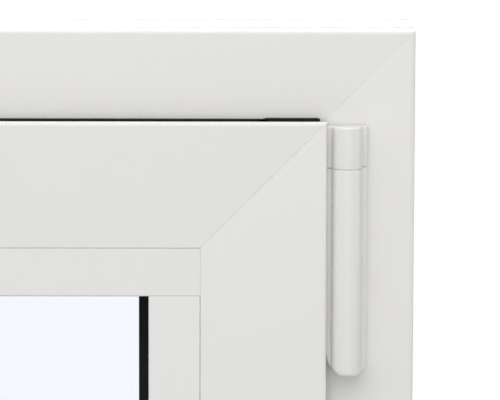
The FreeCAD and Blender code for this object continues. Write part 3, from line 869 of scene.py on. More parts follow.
@dataclass(frozen=True)
class WindowSizes:
    """Sizes that several pieces share, in millimetres.

    Attributes:
        width: Overall width.
        height: Overall height.
        depth: Depth of the frame.
        frame_body: Width of the frame's hollow body, from its outer edge.
        frame_leg: How far the frame's leg reaches in past the body.
        frame_leg_thickness: Thickness of that leg, at the outside.
        sash_depth: Depth of the sash.
        sash_stand_off: How far the sash's room face stands in front of the frame's.
        sash_overlap: How far the sash flange covers the frame.
        sash_face: Width of the sash's room face.
        sash_leg: How far the sash's leg reaches in past the glazing rebate.
        sash_leg_thickness: Thickness of that leg, at the outside.
        hardware_air: Room for the locking gear between frame and sash.
        seal_gap: Gap between the frame's face and the back of the flange.
        pane: Thickness of a pane.
        cavity: Gap between the panes.
        glass_edge_gap: Gap between the panes' edge and the rebate.
        glazing_seal: Thickness of a glazing seal.
        bead_width: Width of a bead's front.
    """

    width: float
    height: float
    depth: float
    frame_body: float = 46.0
    frame_leg: float = 22.0
    frame_leg_thickness: float = 11.0
    sash_depth: float = 74.0
    sash_stand_off: float = 15.0
    sash_overlap: float = 8.0
    sash_face: float = 54.2
    sash_leg: float = 21.5
    sash_leg_thickness: float = 12.0
    hardware_air: float = 12.0
    seal_gap: float = 4.0
    pane: float = 4.0
    cavity: float = 16.0
    glass_edge_gap: float = 5.0
    glazing_seal: float = 3.5
    bead_width: float = 20.8

    @classmethod
    def from_frame(cls) -> "WindowSizes":
        """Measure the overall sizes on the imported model.

        Returns:
            The sizes.
        """
        low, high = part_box("frame_head")
        floor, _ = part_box("frame_sill")
        return cls(width=(high.x - low.x) / METRE, height=(high.z - floor.z) / METRE,
                   depth=(high.y - low.y) / METRE)

    @property
    def sash_edge(self) -> float:
        """Outer edge of the sash flange, in u."""
        return self.frame_body - self.sash_overlap

    @property
    def sash_front(self) -> float:
        """Room face of the sash, in y."""
        return -self.sash_stand_off

    @property
    def sash_body(self) -> float:
        """Outer side of the sash's hollow body, in u."""
        return self.frame_body + self.hardware_air

    @property
    def sash_leg_tip(self) -> float:
        """Inner edge of the sash's outside leg, in u."""
        return self.rebate + self.sash_leg

    @property
    def rebate(self) -> float:
        """Floor of the glazing rebate, in u."""
        return self.sash_edge + self.sash_face

    @property
    def bead_nose(self) -> float:
        """Inner edge of the beads, in u."""
        return self.rebate + self.bead_width

    @property
    def glass_edge(self) -> float:
        """Edge of the panes, in u."""
        return self.rebate + self.glass_edge_gap

    @property
    def sash_back(self) -> float:
        """Outside face of the sash, in y."""
        return self.sash_depth - self.sash_stand_off

    @property
    def sash_leg_face(self) -> float:
        """Room side of the sash's outside leg, in y."""
        return self.sash_back - self.sash_leg_thickness

    @property
    def outer_glass(self) -> float:
        """Outside face of the outer pane, in y."""
        return self.sash_leg_face - self.glazing_seal

    @property
    def room_glass(self) -> float:
        """Room face of the inner pane, in y."""
        return self.outer_glass - 2.0 * self.pane - self.cavity

    @property
    def bead_back(self) -> float:
        """Back of the beads, in y."""
        return self.room_glass - self.glazing_seal

    def placing(self, side: Side) -> Placing:
        """Return where a section swept along one side lies.

        Args:
            side: The side.

        Returns:
            The placing, which starts at the side's lower or handle-side end.
        """
        half = self.width / 2.0 * METRE
        top = self.height * METRE
        face = -self.depth / 2.0 * METRE
        if side is Side.HEAD:
            return Placing((-half, face, top), DOWN, OUTWARDS, RIGHT)
        if side is Side.SILL:
            return Placing((-half, face, 0.0), UP, OUTWARDS, RIGHT)
        if side is Side.HANDLE:
            return Placing((-half, face, 0.0), RIGHT, OUTWARDS, UP)
        return Placing((half, face, 0.0), LEFT, OUTWARDS, UP)

    def length(self, side: Side) -> float:
        """Return the full length of one side."""
        return self.width if side.level else self.height


@dataclass
class SubAssembly:
    """What the sub-assemblies of the window share.

    Attributes:
        sizes: Sizes that several of them share.
        sweep: The tree that runs sections along bars.
        materials: The material of each slot.
    """

    sizes: WindowSizes
    sweep: SectionSweep
    materials: dict[Slot, bpy.types.Material]

    def bar(self, name: str, side: Side, section: Section, slot: Slot, end: EndShape,
            stop: float = 0.0) -> bpy.types.Object:
        """Sweep a section along one side of the window.

        Args:
            name: Name of the piece.
            side: The side.
            section: The section.
            slot: Slot of its finish.
            end: Shape of both ends.
            stop: How far the ends stand back from the frame's corners.

        Returns:
            The piece.
        """
        return self.sweep.run(name, section, self.sizes.placing(side), stop,
                              self.sizes.length(side) - stop, end, end, self.materials[slot])

    def build(self) -> None:
        """Make the pieces and settle them."""
        raise NotImplementedError


@dataclass
class OuterFrame(SubAssembly):
    """The welded frame that is fixed in the wall.

    Attributes:
        room_round: Round of the outer edge at the room side.
        edge_round: Round of the other long edges.
        leg_round: Round of the outside edge of the leg.
        groove_width: Width of each of the two clip grooves round the outer edge.
        groove_depth: Their depth.
        groove_inset: Distance from each face to its groove.
        weld: Shoulder that the trimmed weld leaves along each mitre.
    """

    room_round: float = 1.9
    edge_round: float = 1.0
    leg_round: float = 3.0
    groove_width: float = 8.0
    groove_depth: float = 3.0
    groove_inset: float = 10.0
    weld: EndShape = EndShape(0.35, 0.12)

    NODES = {Side.HEAD: "frame_head", Side.SILL: "frame_sill",
             Side.HANDLE: "frame_jamb_left", Side.HINGE: "frame_jamb_right"}

    def outline(self) -> Outline:
        """Draw the section.

        Returns:
            The body, the leg and the two clip grooves in one outline.
        """
        size = self.sizes
        leg_face = size.depth - size.frame_leg_thickness
        leg_tip = size.frame_body + size.frame_leg
        deep = self.groove_depth
        grooves: list[Corner] = []
        for top in (size.depth - self.groove_inset, self.groove_inset + self.groove_width):
            bottom = top - self.groove_width
            grooves += [(0.0, top, 0.0), (deep, top, 0.0), (deep, bottom, 0.0),
                        (0.0, bottom, 0.0)]
        return Outline((
            (0.0, 0.0, self.room_round), (size.frame_body, 0.0, self.edge_round),
            (size.frame_body, leg_face, 0.0), (leg_tip, leg_face, self.edge_round),
            (leg_tip, size.depth, self.leg_round), (0.0, size.depth, self.edge_round),
            *grooves,
        ))

    def build(self) -> None:
        """Make the four bars."""
        section = self.outline().section(Ends.MITRED)
        for side, node in self.NODES.items():
            piece = self.bar(node + "_extrusion", side, section, Slot.FRAME_PLASTIC, self.weld)
            settle(piece, node)


@dataclass
class Sash(SubAssembly):
    """The welded sash that turns and tilts in the frame.

    Attributes:
        flange_round: Round of the flange's room-side edge at head and sill.
        stile_round: The same along the stiles.
        flange_draft: How far the flange's side leans in towards its back.
        edge_round: Round of the other long edges.
        joint_round: Round of the edge beside the bead.
        leg_round: Round of the outside edge of the leg.
        groove_width: Width of the groove for the locking gear.
        groove_depth: Its depth.
        groove_inset: How far it lies behind the flange.
        weld: Shoulder that the trimmed weld leaves along each mitre.
    """

    flange_round: float = 1.9
    stile_round: float = 1.3
    flange_draft: float = 1.0
    edge_round: float = 1.0
    joint_round: float = 0.28
    leg_round: float = 3.0
    groove_width: float = 16.0
    groove_depth: float = 4.0
    groove_inset: float = 14.0
    weld: EndShape = EndShape(0.45, 0.22)

    NODES = {Side.HEAD: "sash_top_rail", Side.SILL: "sash_bottom_rail",
             Side.HANDLE: "sash_handle_stile", Side.HINGE: "sash_hinge_stile"}

    def outline(self, flange_round: float) -> Outline:
        """Draw the section.

        Args:
            flange_round: Round of the flange's room-side edge.

        Returns:
            The flange, the rebate, the leg and the groove in one outline.
        """
        size = self.sizes
        groove = self.groove_inset - size.seal_gap
        floor = size.sash_body + self.groove_depth
        return Outline((
            (size.sash_edge, size.sash_front, flange_round),
            (size.rebate, size.sash_front, self.joint_round),
            (size.rebate, size.sash_leg_face, 0.0),
            (size.sash_leg_tip, size.sash_leg_face, self.edge_round),
            (size.sash_leg_tip, size.sash_back, self.leg_round),
            (size.sash_body, size.sash_back, self.edge_round),
            (size.sash_body, groove + self.groove_width, 0.0),
            (floor, groove + self.groove_width, 0.0),
            (floor, groove, 0.0),
            (size.sash_body, groove, 0.0),
            (size.sash_body, -size.seal_gap, 0.0),
            (size.sash_edge + self.flange_draft, -size.seal_gap, 0.0),
        ))

    def build(self) -> None:
        """Make the four bars."""
        for side, node in self.NODES.items():
            outline = self.outline(self.flange_round if side.level else self.stile_round)
            piece = self.bar(node + "_extrusion", side, outline.section(Ends.MITRED),
                             Slot.SASH_PLASTIC, self.weld)
            settle(piece, node)


@dataclass
class SashSeal(SubAssembly):
    """The seal on the back of the sash flange, which presses on the frame.

    Attributes:
        root: How far its root lies behind the flange's edge.
        foot: Width of the root.
        foot_height: Thickness of the root's far edge.
        overlap: How far a lip overlaps the root.
        proud: How far the lip stands past the flange's edge.
        corner_proud: How far the moulded corner pieces do.
        corner_length: How far from the sash's corner those pieces reach.
        taper: How far short of that their lip ends.
        corner: Distance from the sash's corner to the end of a lip.
        slant: How much further back a lip's end lies for each millimetre towards the frame.
    """

    root: float = 1.6
    foot: float = 5.0
    foot_height: float = 1.3
    overlap: float = 1.0
    proud: float = -0.1
    corner_proud: float = 0.25
    corner_length: float = 37.0
    taper: float = 11.0
    corner: float = 3.0
    slant: float = 0.25

    def root_outline(self) -> Outline:
        """Draw the root.

        Returns:
            A foot on the flange, and a wedge that reaches the frame.
        """
        back = -self.sizes.seal_gap
        near = self.sizes.sash_edge + self.root
        far = near + self.foot
        return Outline(((near, back, 0.0), (far, back, 0.0),
                        (far, back + self.foot_height, 0.0),
                        (near + self.foot / 2.0, 0.0, 0.0), (near, 0.0, 0.0)))

    def lip_points(self, proud: float) -> list[Point]:
        """Draw the section of a lip.

        Args:
            proud: How far it stands past the flange's edge.

        Returns:
            Its points.
        """
        back = -self.sizes.seal_gap
        tip = self.sizes.sash_edge - proud
        heel = self.sizes.sash_edge + self.root + self.overlap
        return Outline(((tip, back, 0.0), (heel, back, 0.0), (heel, 0.0, 0.0),
                        (tip, 0.0, 0.0))).points()

    def lips(self) -> list[Section]:
        """Draw the lip at head or sill with its two corner pieces.

        Returns:
            The three sections, each with the set-backs of its own ends.
        """
        size = self.sizes
        edge = size.sash_edge
        middle = self.lip_points(self.proud)
        piece = self.lip_points(self.corner_proud)
        ends = [edge + self.corner + self.slant * (y + size.seal_gap) for _, y in piece]
        inner = [edge + self.corner_length - self.taper] * len(middle)
        rest = [size.width - edge - self.corner_length + (self.taper if u < edge else 0.0)
                for u, _ in piece]
        return [Section(middle, inner, inner), Section(piece, ends, rest),
                Section(piece, rest, ends)]

    def build(self) -> None:
        """Make the root all round, and the lips that show at head and sill."""
        root = self.root_outline().section(Ends.MITRED)
        bars = [self.bar("sash_seal_bar", side, section, Slot.SEAL_RUBBER, CUT)
                for side in Side for section in [root, *(self.lips() if side.level else [])]]
        settle(join("sash_seal_lip", bars), "sash_seal")


@dataclass
class Glazing(SubAssembly):
    """Glazing beads and seals.

    Attributes:
        bead_round: Round of a bead's front edge beside the glass.
        bead_draft: How far a bead's inner side slopes in to its back.
        side_fuller: How far the side beads' inner edge stands out past the others'.
        joint_round: Round of a bead's front edge beside the sash.
        joint_gap: Gap between a bead and the sash.
        cut_end: Round of a bead's cut ends.
        lip: How far a seal's lip shows past the bead.
        side_lip: The same beside the side beads.
        lip_round: Round of the lip's edge.
        lip_edge: Height of that edge, as a share of the seal's thickness.
        curl: Where the lip curls down, as shares of its width and of the seal's thickness.
        curl_round: Round of the curl.
        lip_root: Height of the lip beside the bead, as a share of the seal's thickness.
        seal_foot: How far the seal reaches under the bead.
    """

    bead_round: float = 0.6
    bead_draft: float = 1.8
    side_fuller: float = 1.3
    joint_round: float = 0.28
    joint_gap: float = 0.13
    cut_end: EndShape = EndShape(0.15, 0.15)
    lip: float = 3.4
    side_lip: float = 4.25
    lip_round: float = 0.5
    lip_edge: float = 0.32
    curl: Point = (0.45, 0.62)
    curl_round: float = 2.0
    lip_root: float = 0.75
    seal_foot: float = 5.0

    NAMES = {Side.HEAD: "top", Side.SILL: "bottom",
             Side.HANDLE: "handle_side", Side.HINGE: "hinge_side"}

    def bead_outline(self, fuller: float) -> Outline:
        """Draw a bead's section.

        Args:
            fuller: How far the front of its inner side stands out past the plain slope.

        Returns:
            The section.
        """
        size = self.sizes
        foot = size.rebate + self.joint_gap
        return Outline((
            (foot, size.sash_front, self.joint_round),
            (size.bead_nose + fuller, size.sash_front, self.bead_round),
            (size.bead_nose + self.bead_draft, size.bead_back, 0.0),
            (foot, size.bead_back, 0.0),
        ))

    def seal_outline(self, edge: float, glass: float, foot: float, lip: float) -> Outline:
        """Draw the section of a glazing seal.

        Args:
            edge: Edge of the bead or leg over it, in u.
            glass: Face of the pane, in y.
            foot: Face of the bead or leg, in y.
            lip: How far the lip shows.

        Returns:
            The section, with a lip that curls down on the glass.
        """
        rise = foot - glass
        return Outline((
            (edge - self.seal_foot, glass, 0.0),
            (edge + lip, glass, 0.0),
            (edge + lip, glass + rise * self.lip_edge, self.lip_round),
            (edge + lip * self.curl[0], glass + rise * self.curl[1], self.curl_round),
            (edge, glass + rise * self.lip_root, 0.0),
            (edge, foot, 0.0),
            (edge - self.seal_foot, foot, 0.0),
        ), hold=SHORT_HOLD)

    def room_side(self, side: Side) -> None:
        """Make the bead and the seal of one side.

        Args:
            side: The side. At head and sill they run through, and the others stand between.
        """
        size = self.sizes
        name = self.NAMES[side]
        back_edge = size.bead_nose + self.bead_draft
        bead = self.bead_outline(0.0 if side.level else self.side_fuller)
        piece = self.bar(f"bead_{name}_extrusion", side, bead.section(Ends.SQUARE),
                         Slot.BEAD_PLASTIC, self.cut_end,
                         size.rebate if side.level else size.bead_nose)
        settle(piece, f"bead_{name}")
        seal = self.seal_outline(back_edge, size.room_glass, size.bead_back,
                                 self.lip if side.level else self.side_lip)
        piece = self.bar(f"bead_seal_{name}_lip", side, seal.section(Ends.SQUARE),
                         Slot.SEAL_RUBBER, CUT,
                         size.glass_edge if side.level else back_edge + self.lip)
        settle(piece, f"bead_seal_{name}")

    def build(self) -> None:
        """Make the beads, their seals and the seal outside the glass."""
        size = self.sizes
        for side in self.NAMES:
            self.room_side(side)
        outer = self.seal_outline(size.sash_leg_tip, size.outer_glass, size.sash_leg_face,
                                  self.lip).section(Ends.MITRED)
        bars = [self.bar("outer_seal", side, outer, Slot.SEAL_RUBBER, CUT) for side in Side]
        settle(join("outer_glazing_seal_lip", bars), "outer_glazing_seal")


@dataclass
class HingeCovers(SubAssembly):
    """The covers over the stay hinge at the top and the corner hinge at the bottom.

    Attributes:
        stand_off: From the frame's room face to the hinge axis.
        barrel_radius: Radius of the barrel.
        sash_flank: Half width of the barrel on the sash side.
        base: Height of the base that the barrel stands out of.
        jamb_base: Its height at its edge on the jamb side, where it flares out.
        sash_ledge: How far the base shows past the barrel beside the sash.
        jamb_ledge: How far it shows on the other side.
        tuck: How far the base reaches under the sash flange.
        tuck_height: Height above the frame's face from which it does.
        sash_valley: Round of the inner edge beside the barrel, on the sash side.
        jamb_valley: The same on the jamb side.
        edge_round: Round of the base's edge on the jamb side.
        sash_corner: Corner radius beside the sash at a free end, seen from the room.
        jamb_corner: The same on the other side.
        top_end: Round of the edge at the very top.
        free_end: Round of the edge at the free lower end.
        joint_top: Round of the edge at the top of the lower cover.
        joint_bottom: Round of the edge at the bottom of the upper one.
        reach_up: How far the lower cover reaches up into the joint.
        reach_down: How far the upper one reaches down into it.
        rise: How far the upper cover's top stands above its CAD node.
        clearance: Gap between a cover that turns and the frame.
        valley_steps: Facets of each inner edge.
        barrel_steps: Facets of the barrel.
        fineness: Longest step between two points of the section.
    """

    stand_off: float = 11.5
    barrel_radius: float = 6.0
    sash_flank: float = 6.7
    base: float = 9.6
    jamb_base: float = 4.5
    sash_ledge: float = 2.5
    jamb_ledge: float = 2.5
    tuck: float = 0.5
    tuck_height: float = 3.3
    sash_valley: float = 0.9
    jamb_valley: float = 1.3
    edge_round: float = 0.5
    sash_corner: float = 7.0
    jamb_corner: float = 2.4
    top_end: EndShape = EndShape(0.9, 0.55)
    free_end: EndShape = EndShape(2.0, 1.3)
    joint_top: EndShape = EndShape(0.65, 0.55)
    joint_bottom: EndShape = EndShape(0.12, 0.12)
    reach_up: float = 0.32
    reach_down: float = -0.14
    rise: float = 0.6
    clearance: float = 0.3
    valley_steps: int = 8
    barrel_steps: int = 48
    fineness: float = 0.3

    def outline(self, back: float) -> list[Point]:
        """Draw a cover's section about the hinge axis.

        Args:
            back: Gap between the cover's back and the frame.

        Returns:
            Its points: a base with a barrel that stands out of it.
        """
        radius = self.barrel_radius
        left, right = -radius - self.sash_ledge, radius + self.jamb_ledge
        front = self.stand_off - self.base
        jamb_front = self.stand_off - self.jamb_base
        under = self.stand_off - self.tuck_height
        sash_side = [(left, self.stand_off - back), (left, under), (left - self.tuck, under),
                     (left - self.tuck, front)]
        jamb_side = Outline((
            (0.0, jamb_front, 0.0), (right, jamb_front, self.edge_round),
            (right, self.stand_off - back, 0.0), (0.0, self.stand_off - back, 0.0),
        ), hold=SHORT_HOLD).points()
        quarter = self.angles(math.pi / 2.0, self.valley_steps)
        hollow = [(self.sash_valley * (math.sin(angle) - 1.0) - self.sash_flank,
                   self.sash_valley * (math.cos(angle) - 1.0) + front) for angle in quarter]
        flare = [(radius + self.jamb_valley * (1.0 - math.cos(angle)),
                  jamb_front - self.jamb_valley * (1.0 - math.sin(angle)))
                 for angle in quarter]
        crown = []
        for angle in self.angles(math.pi, self.barrel_steps):
            reach = self.sash_flank if math.cos(angle) > 0.0 else radius
            crown.append((-reach * math.cos(angle), -radius * math.sin(angle)))
        outer = sorted((point for point in jamb_side if point[0] > 0.0), key=sum)
        return self.divided(sash_side + hollow + crown + flare + outer)

    def divided(self, points: Sequence[Point]) -> list[Point]:
        """Divide the long edges of a section.

        Args:
            points: The section's points.

        Returns:
            The same with more points, so that no step is longer than the fineness.
        """
        fine: list[Point] = []
        for here, after in zip(points, [*points[1:], points[0]]):
            count = max(1, math.ceil(math.dist(here, after) / self.fineness))
            fine += [(here[0] + (after[0] - here[0]) * i / count,
                      here[1] + (after[1] - here[1]) * i / count) for i in range(count)]
        return fine

    @staticmethod
    def angles(last: float, steps: int) -> list[float]:
        """Return evenly spaced angles from 0 to the last one."""
        return [last * i / steps for i in range(steps + 1)]

    def set_back(self, x: float) -> float:
        """Work out the round corners of a free end.

        Args:
            x: Place across the cover.

        Returns:
            How far the end stands back there.
        """
        from_left = x + self.barrel_radius + self.sash_ledge
        from_right = self.barrel_radius + self.jamb_ledge - x
        for distance, radius in ((from_left, self.sash_corner), (from_right, self.jamb_corner)):
            if distance < radius:
                return radius - math.sqrt(max(0.0, radius ** 2 - (radius - distance) ** 2))
        return 0.0

    def cover(self, node: str, low_free: bool = False, high_free: bool = False,
              turns: bool = False) -> None:
        """Make one cover where its CAD node stands.

        Args:
            node: The CAD node that it replaces.
            low_free: Whether its lower end stands free.
            high_free: Whether its upper end does.
            turns: Whether it turns with the sash, as the upper cover of each hinge does.
        """
        low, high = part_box(node)
        axis = low.x / METRE + self.barrel_radius + self.sash_ledge
        room_face = -self.sizes.depth / 2.0
        upright = Placing((axis * METRE, (room_face - self.stand_off) * METRE, 0.0),
                          RIGHT, OUTWARDS, UP)
        points = self.outline(self.clearance if turns else 0.0)
        corners = [self.set_back(point[0]) for point in points]
        plain = [0.0] * len(points)
        section = Section(points, corners if low_free else plain,
                          corners if high_free else plain)
        shell = self.sweep.run(node + "_shell", section, upright,
                               low.z / METRE - (0.0 if low_free else self.reach_down),
                               high.z / METRE + (self.rise if turns else self.reach_up),
                               self.free_end if low_free else self.joint_bottom,
                               self.top_end if turns else self.joint_top,
                               self.materials[Slot.COVER_PLASTIC])
        settle(shell, node)

    def build(self) -> None:
        """Make the four covers."""
        self.cover("stay_bearing_cover", low_free=True)
        self.cover("stay_arm_cover", turns=True)
        self.cover("corner_bearing_cover", low_free=True)
        self.cover("corner_band_cover", high_free=True, turns=True)


@dataclass
class Handle(SubAssembly):
    """The rose and the lever.

    Attributes:
        rose_slimness: Width of the rose over the radius of its corners.
        rose_steps: Facets of each of those corners.
        rose_back: Round of the rose's edge on the sash.
        rose_front: Round of its front edge.
        neck_radius: Radius of the lever's neck.
        neck_length: Length of the neck, which ends inside the grip.
        neck_foot_radius: Radius where it meets the rose.
        neck_foot_height: How far that foot reaches.
        foot_edge: How far the foot's edge draws in, and over what height.
        foot_flare: How much wider the neck is at the foot, and over what height.
        grip_width: Width of the grip at the neck.
        grip_tip_width: Width at its tip.
        grip_thickness: Thickness at the neck.
        grip_tip_thickness: Thickness at the tip.
        grip_lean: How far the tip leans to the room, past the grip's top.
        top_length: Length of the grip's rounded top.
        tip_length: Length of its rounded tip.
        end_swell: Share of its width that is left at the very ends.
        squareness: Power that turns an ellipse into a rounded oblong.
        ring_points: Points of each ring.
        rings: Rings along the grip.
        grain: Size of the facets that blend neck and grip.
        soften: Share of each softening step.
        soften_steps: Number of those steps.
    """

    rose_slimness: float = 2.5
    rose_steps: int = 16
    rose_back: EndShape = EndShape(0.3, 0.3)
    rose_front: EndShape = EndShape(2.5, 2.5)
    neck_radius: float = 9.0
    neck_length: float = 30.0
    neck_foot_radius: float = 12.0
    neck_foot_height: float = 4.0
    foot_edge: Point = (0.4, 0.6)
    foot_flare: Point = (0.6, 2.5)
    grip_width: float = 20.0
    grip_tip_width: float = 16.0
    grip_thickness: float = 11.0
    grip_tip_thickness: float = 8.5
    grip_lean: float = 5.0
    top_length: float = 8.0
    tip_length: float = 7.0
    end_swell: float = 0.02
    squareness: float = 0.7
    ring_points: int = 40
    rings: int = 36
    grain: float = 0.9
    soften: float = 0.5
    soften_steps: int = 6

    def rose(self) -> None:
        """Make the rose: an upright rounded plate."""
        low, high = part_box("handle_rose")
        right = (high.x - low.x) / METRE / 2.0
        top = (high.z - low.z) / METRE / 2.0
        radius = 2.0 * right / self.rose_slimness
        outline = Outline(((-right, -top, radius), (right, -top, radius),
                           (right, top, radius), (-right, top, radius)),
                          steps=self.rose_steps)
        placing = Placing(((low.x + high.x) / 2.0, high.y, (low.z + high.z) / 2.0),
                          RIGHT, UP, INWARDS)
        piece = self.sweep.run("handle_rose_shell", outline.section(Ends.SQUARE), placing, 0.0,
                               (high.y - low.y) / METRE, self.rose_back, self.rose_front,
                               self.materials[Slot.HANDLE_METAL])
        settle(piece, "handle_rose")

    def compass(self) -> list[Point]:
        """Return the cosine and sine of the angle of each point on a ring."""
        angles = [2.0 * math.pi * j / self.ring_points for j in range(self.ring_points)]
        return [(math.cos(angle), math.sin(angle)) for angle in angles]

    def grip_rings(self, low: Vector, high: Vector) -> list[list[Vector]]:
        """Place the rings of the grip, from its top to its tip.

        Args:
            low: Lowest corner of the CAD lever.
            high: Its highest corner.

        Returns:
            The rings, each a rounded oblong.
        """
        middle_x = (low.x + high.x) / 2.0
        length = high.z - low.z
        rings = []
        for i in range(self.rings + 1):
            share = 0.5 - 0.5 * math.cos(math.pi * i / self.rings)
            width = self.grip_width + (self.grip_tip_width - self.grip_width) * share
            thick = (self.grip_thickness
                     + (self.grip_tip_thickness - self.grip_thickness) * share)
            from_top = min(1.0, share * length / METRE / self.top_length)
            from_tip = min(1.0, (1.0 - share) * length / METRE / self.tip_length)
            swell = max(self.end_swell, math.sqrt(1.0 - (1.0 - from_top) ** 2)
                        * math.sqrt(1.0 - (1.0 - from_tip) ** 2))
            back = self.grip_tip_thickness / 2.0 + self.grip_lean * (1.0 - share)
            centre = Vector((middle_x, low.y + back * METRE, high.z - share * length))
            ring = []
            for cosine, sine in self.compass():
                x = math.copysign(abs(cosine) ** self.squareness, cosine) * width / 2.0 * swell
                y = (math.copysign(abs(sine) ** self.squareness, sine) * thick / 2.0
                     * swell ** 0.5)
                ring.append(centre + Vector((x, y, 0.0)) * METRE)
            rings.append(ring)
        return rings

    def neck_rings(self, low: Vector, high: Vector) -> list[list[Vector]]:
        """Place the rings of the neck, from the rose to inside the grip.

        Args:
            low: Lowest corner of the CAD lever.
            high: Its highest corner.

        Returns:
            The rings.
        """
        middle_x = (low.x + high.x) / 2.0
        axis_z = high.z - self.neck_radius * METRE
        foot_radius, foot_top = self.neck_foot_radius, -self.neck_foot_height
        profile = ((foot_radius, 0.0), (foot_radius - self.foot_edge[0], -self.foot_edge[1]),
                   (self.neck_radius + self.foot_flare[0], foot_top),
                   (self.neck_radius, foot_top - self.foot_flare[1]),
                   (self.neck_radius, -self.neck_length))
        return [[Vector((middle_x + radius * cosine * METRE, high.y + y * METRE,
                         axis_z + radius * sine * METRE)) for cosine, sine in self.compass()]
                for radius, y in profile]

    def lever(self) -> None:
        """Make the lever: neck and grip, blended into one casting."""
        low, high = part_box("handle_lever")
        work = bmesh.new()
        for rings in (self.grip_rings(low, high), self.neck_rings(low, high)):
            self.skin(work, rings)
        bmesh.ops.recalc_face_normals(work, faces=work.faces)
        piece = put("handle_lever_body", plain_mesh("handle_lever_body", work))
        remesh = piece.modifiers.new("blend", "REMESH")
        remesh.mode = "VOXEL"
        remesh.voxel_size = self.grain * METRE
        soften = piece.modifiers.new("soften", "SMOOTH")
        soften.factor = self.soften
        soften.iterations = self.soften_steps
        make_plain(piece)
        piece.data.materials.append(self.materials[Slot.HANDLE_METAL])
        settle(piece, "handle_lever")

    @staticmethod
    def skin(work: bmesh.types.BMesh, rings: Sequence[Sequence[Vector]]) -> None:
        """Close a row of rings with faces and two end caps.

        Args:
            work: The mesh that gets them.
            rings: The rings, each with as many points.
        """
        loops = [[work.verts.new(point) for point in ring] for ring in rings]
        for ring, after in zip(loops, loops[1:]):
            for j, corner in enumerate(ring):
                k = (j + 1) % len(ring)
                work.faces.new((corner, ring[k], after[k], after[j]))
        work.faces.new(loops[0])
        work.faces.new(loops[-1][::-1])

    def build(self) -> None:
        """Make both pieces."""
        self.rose()
        self.lever()


@dataclass(frozen=True)
class SoftBox:
    """One studio lamp.

    Attributes:
        name: Its name.
        place: Where it hangs, in metres.
        aim: What it points at, in metres.
        size: Width of its square face, in metres.
        power: Its power in watts.
    """

    name: str
    place: Axis
    aim: Axis
    size: float
    power: float

    def hang(self) -> None:
        """Add the lamp to the scene, unseen itself except in gloss."""
        lamp = bpy.data.lights.new(self.name, "AREA")
        lamp.shape = "SQUARE"
        lamp.size = self.size
        lamp.energy = self.power
        holder = put(self.name, lamp)
        holder.location = self.place
        aim = Vector(self.aim) - Vector(self.place)
        holder.rotation_euler = aim.to_track_quat("-Z", "Y").to_euler()
        holder.visible_camera = False
        holder.visible_transmission = False


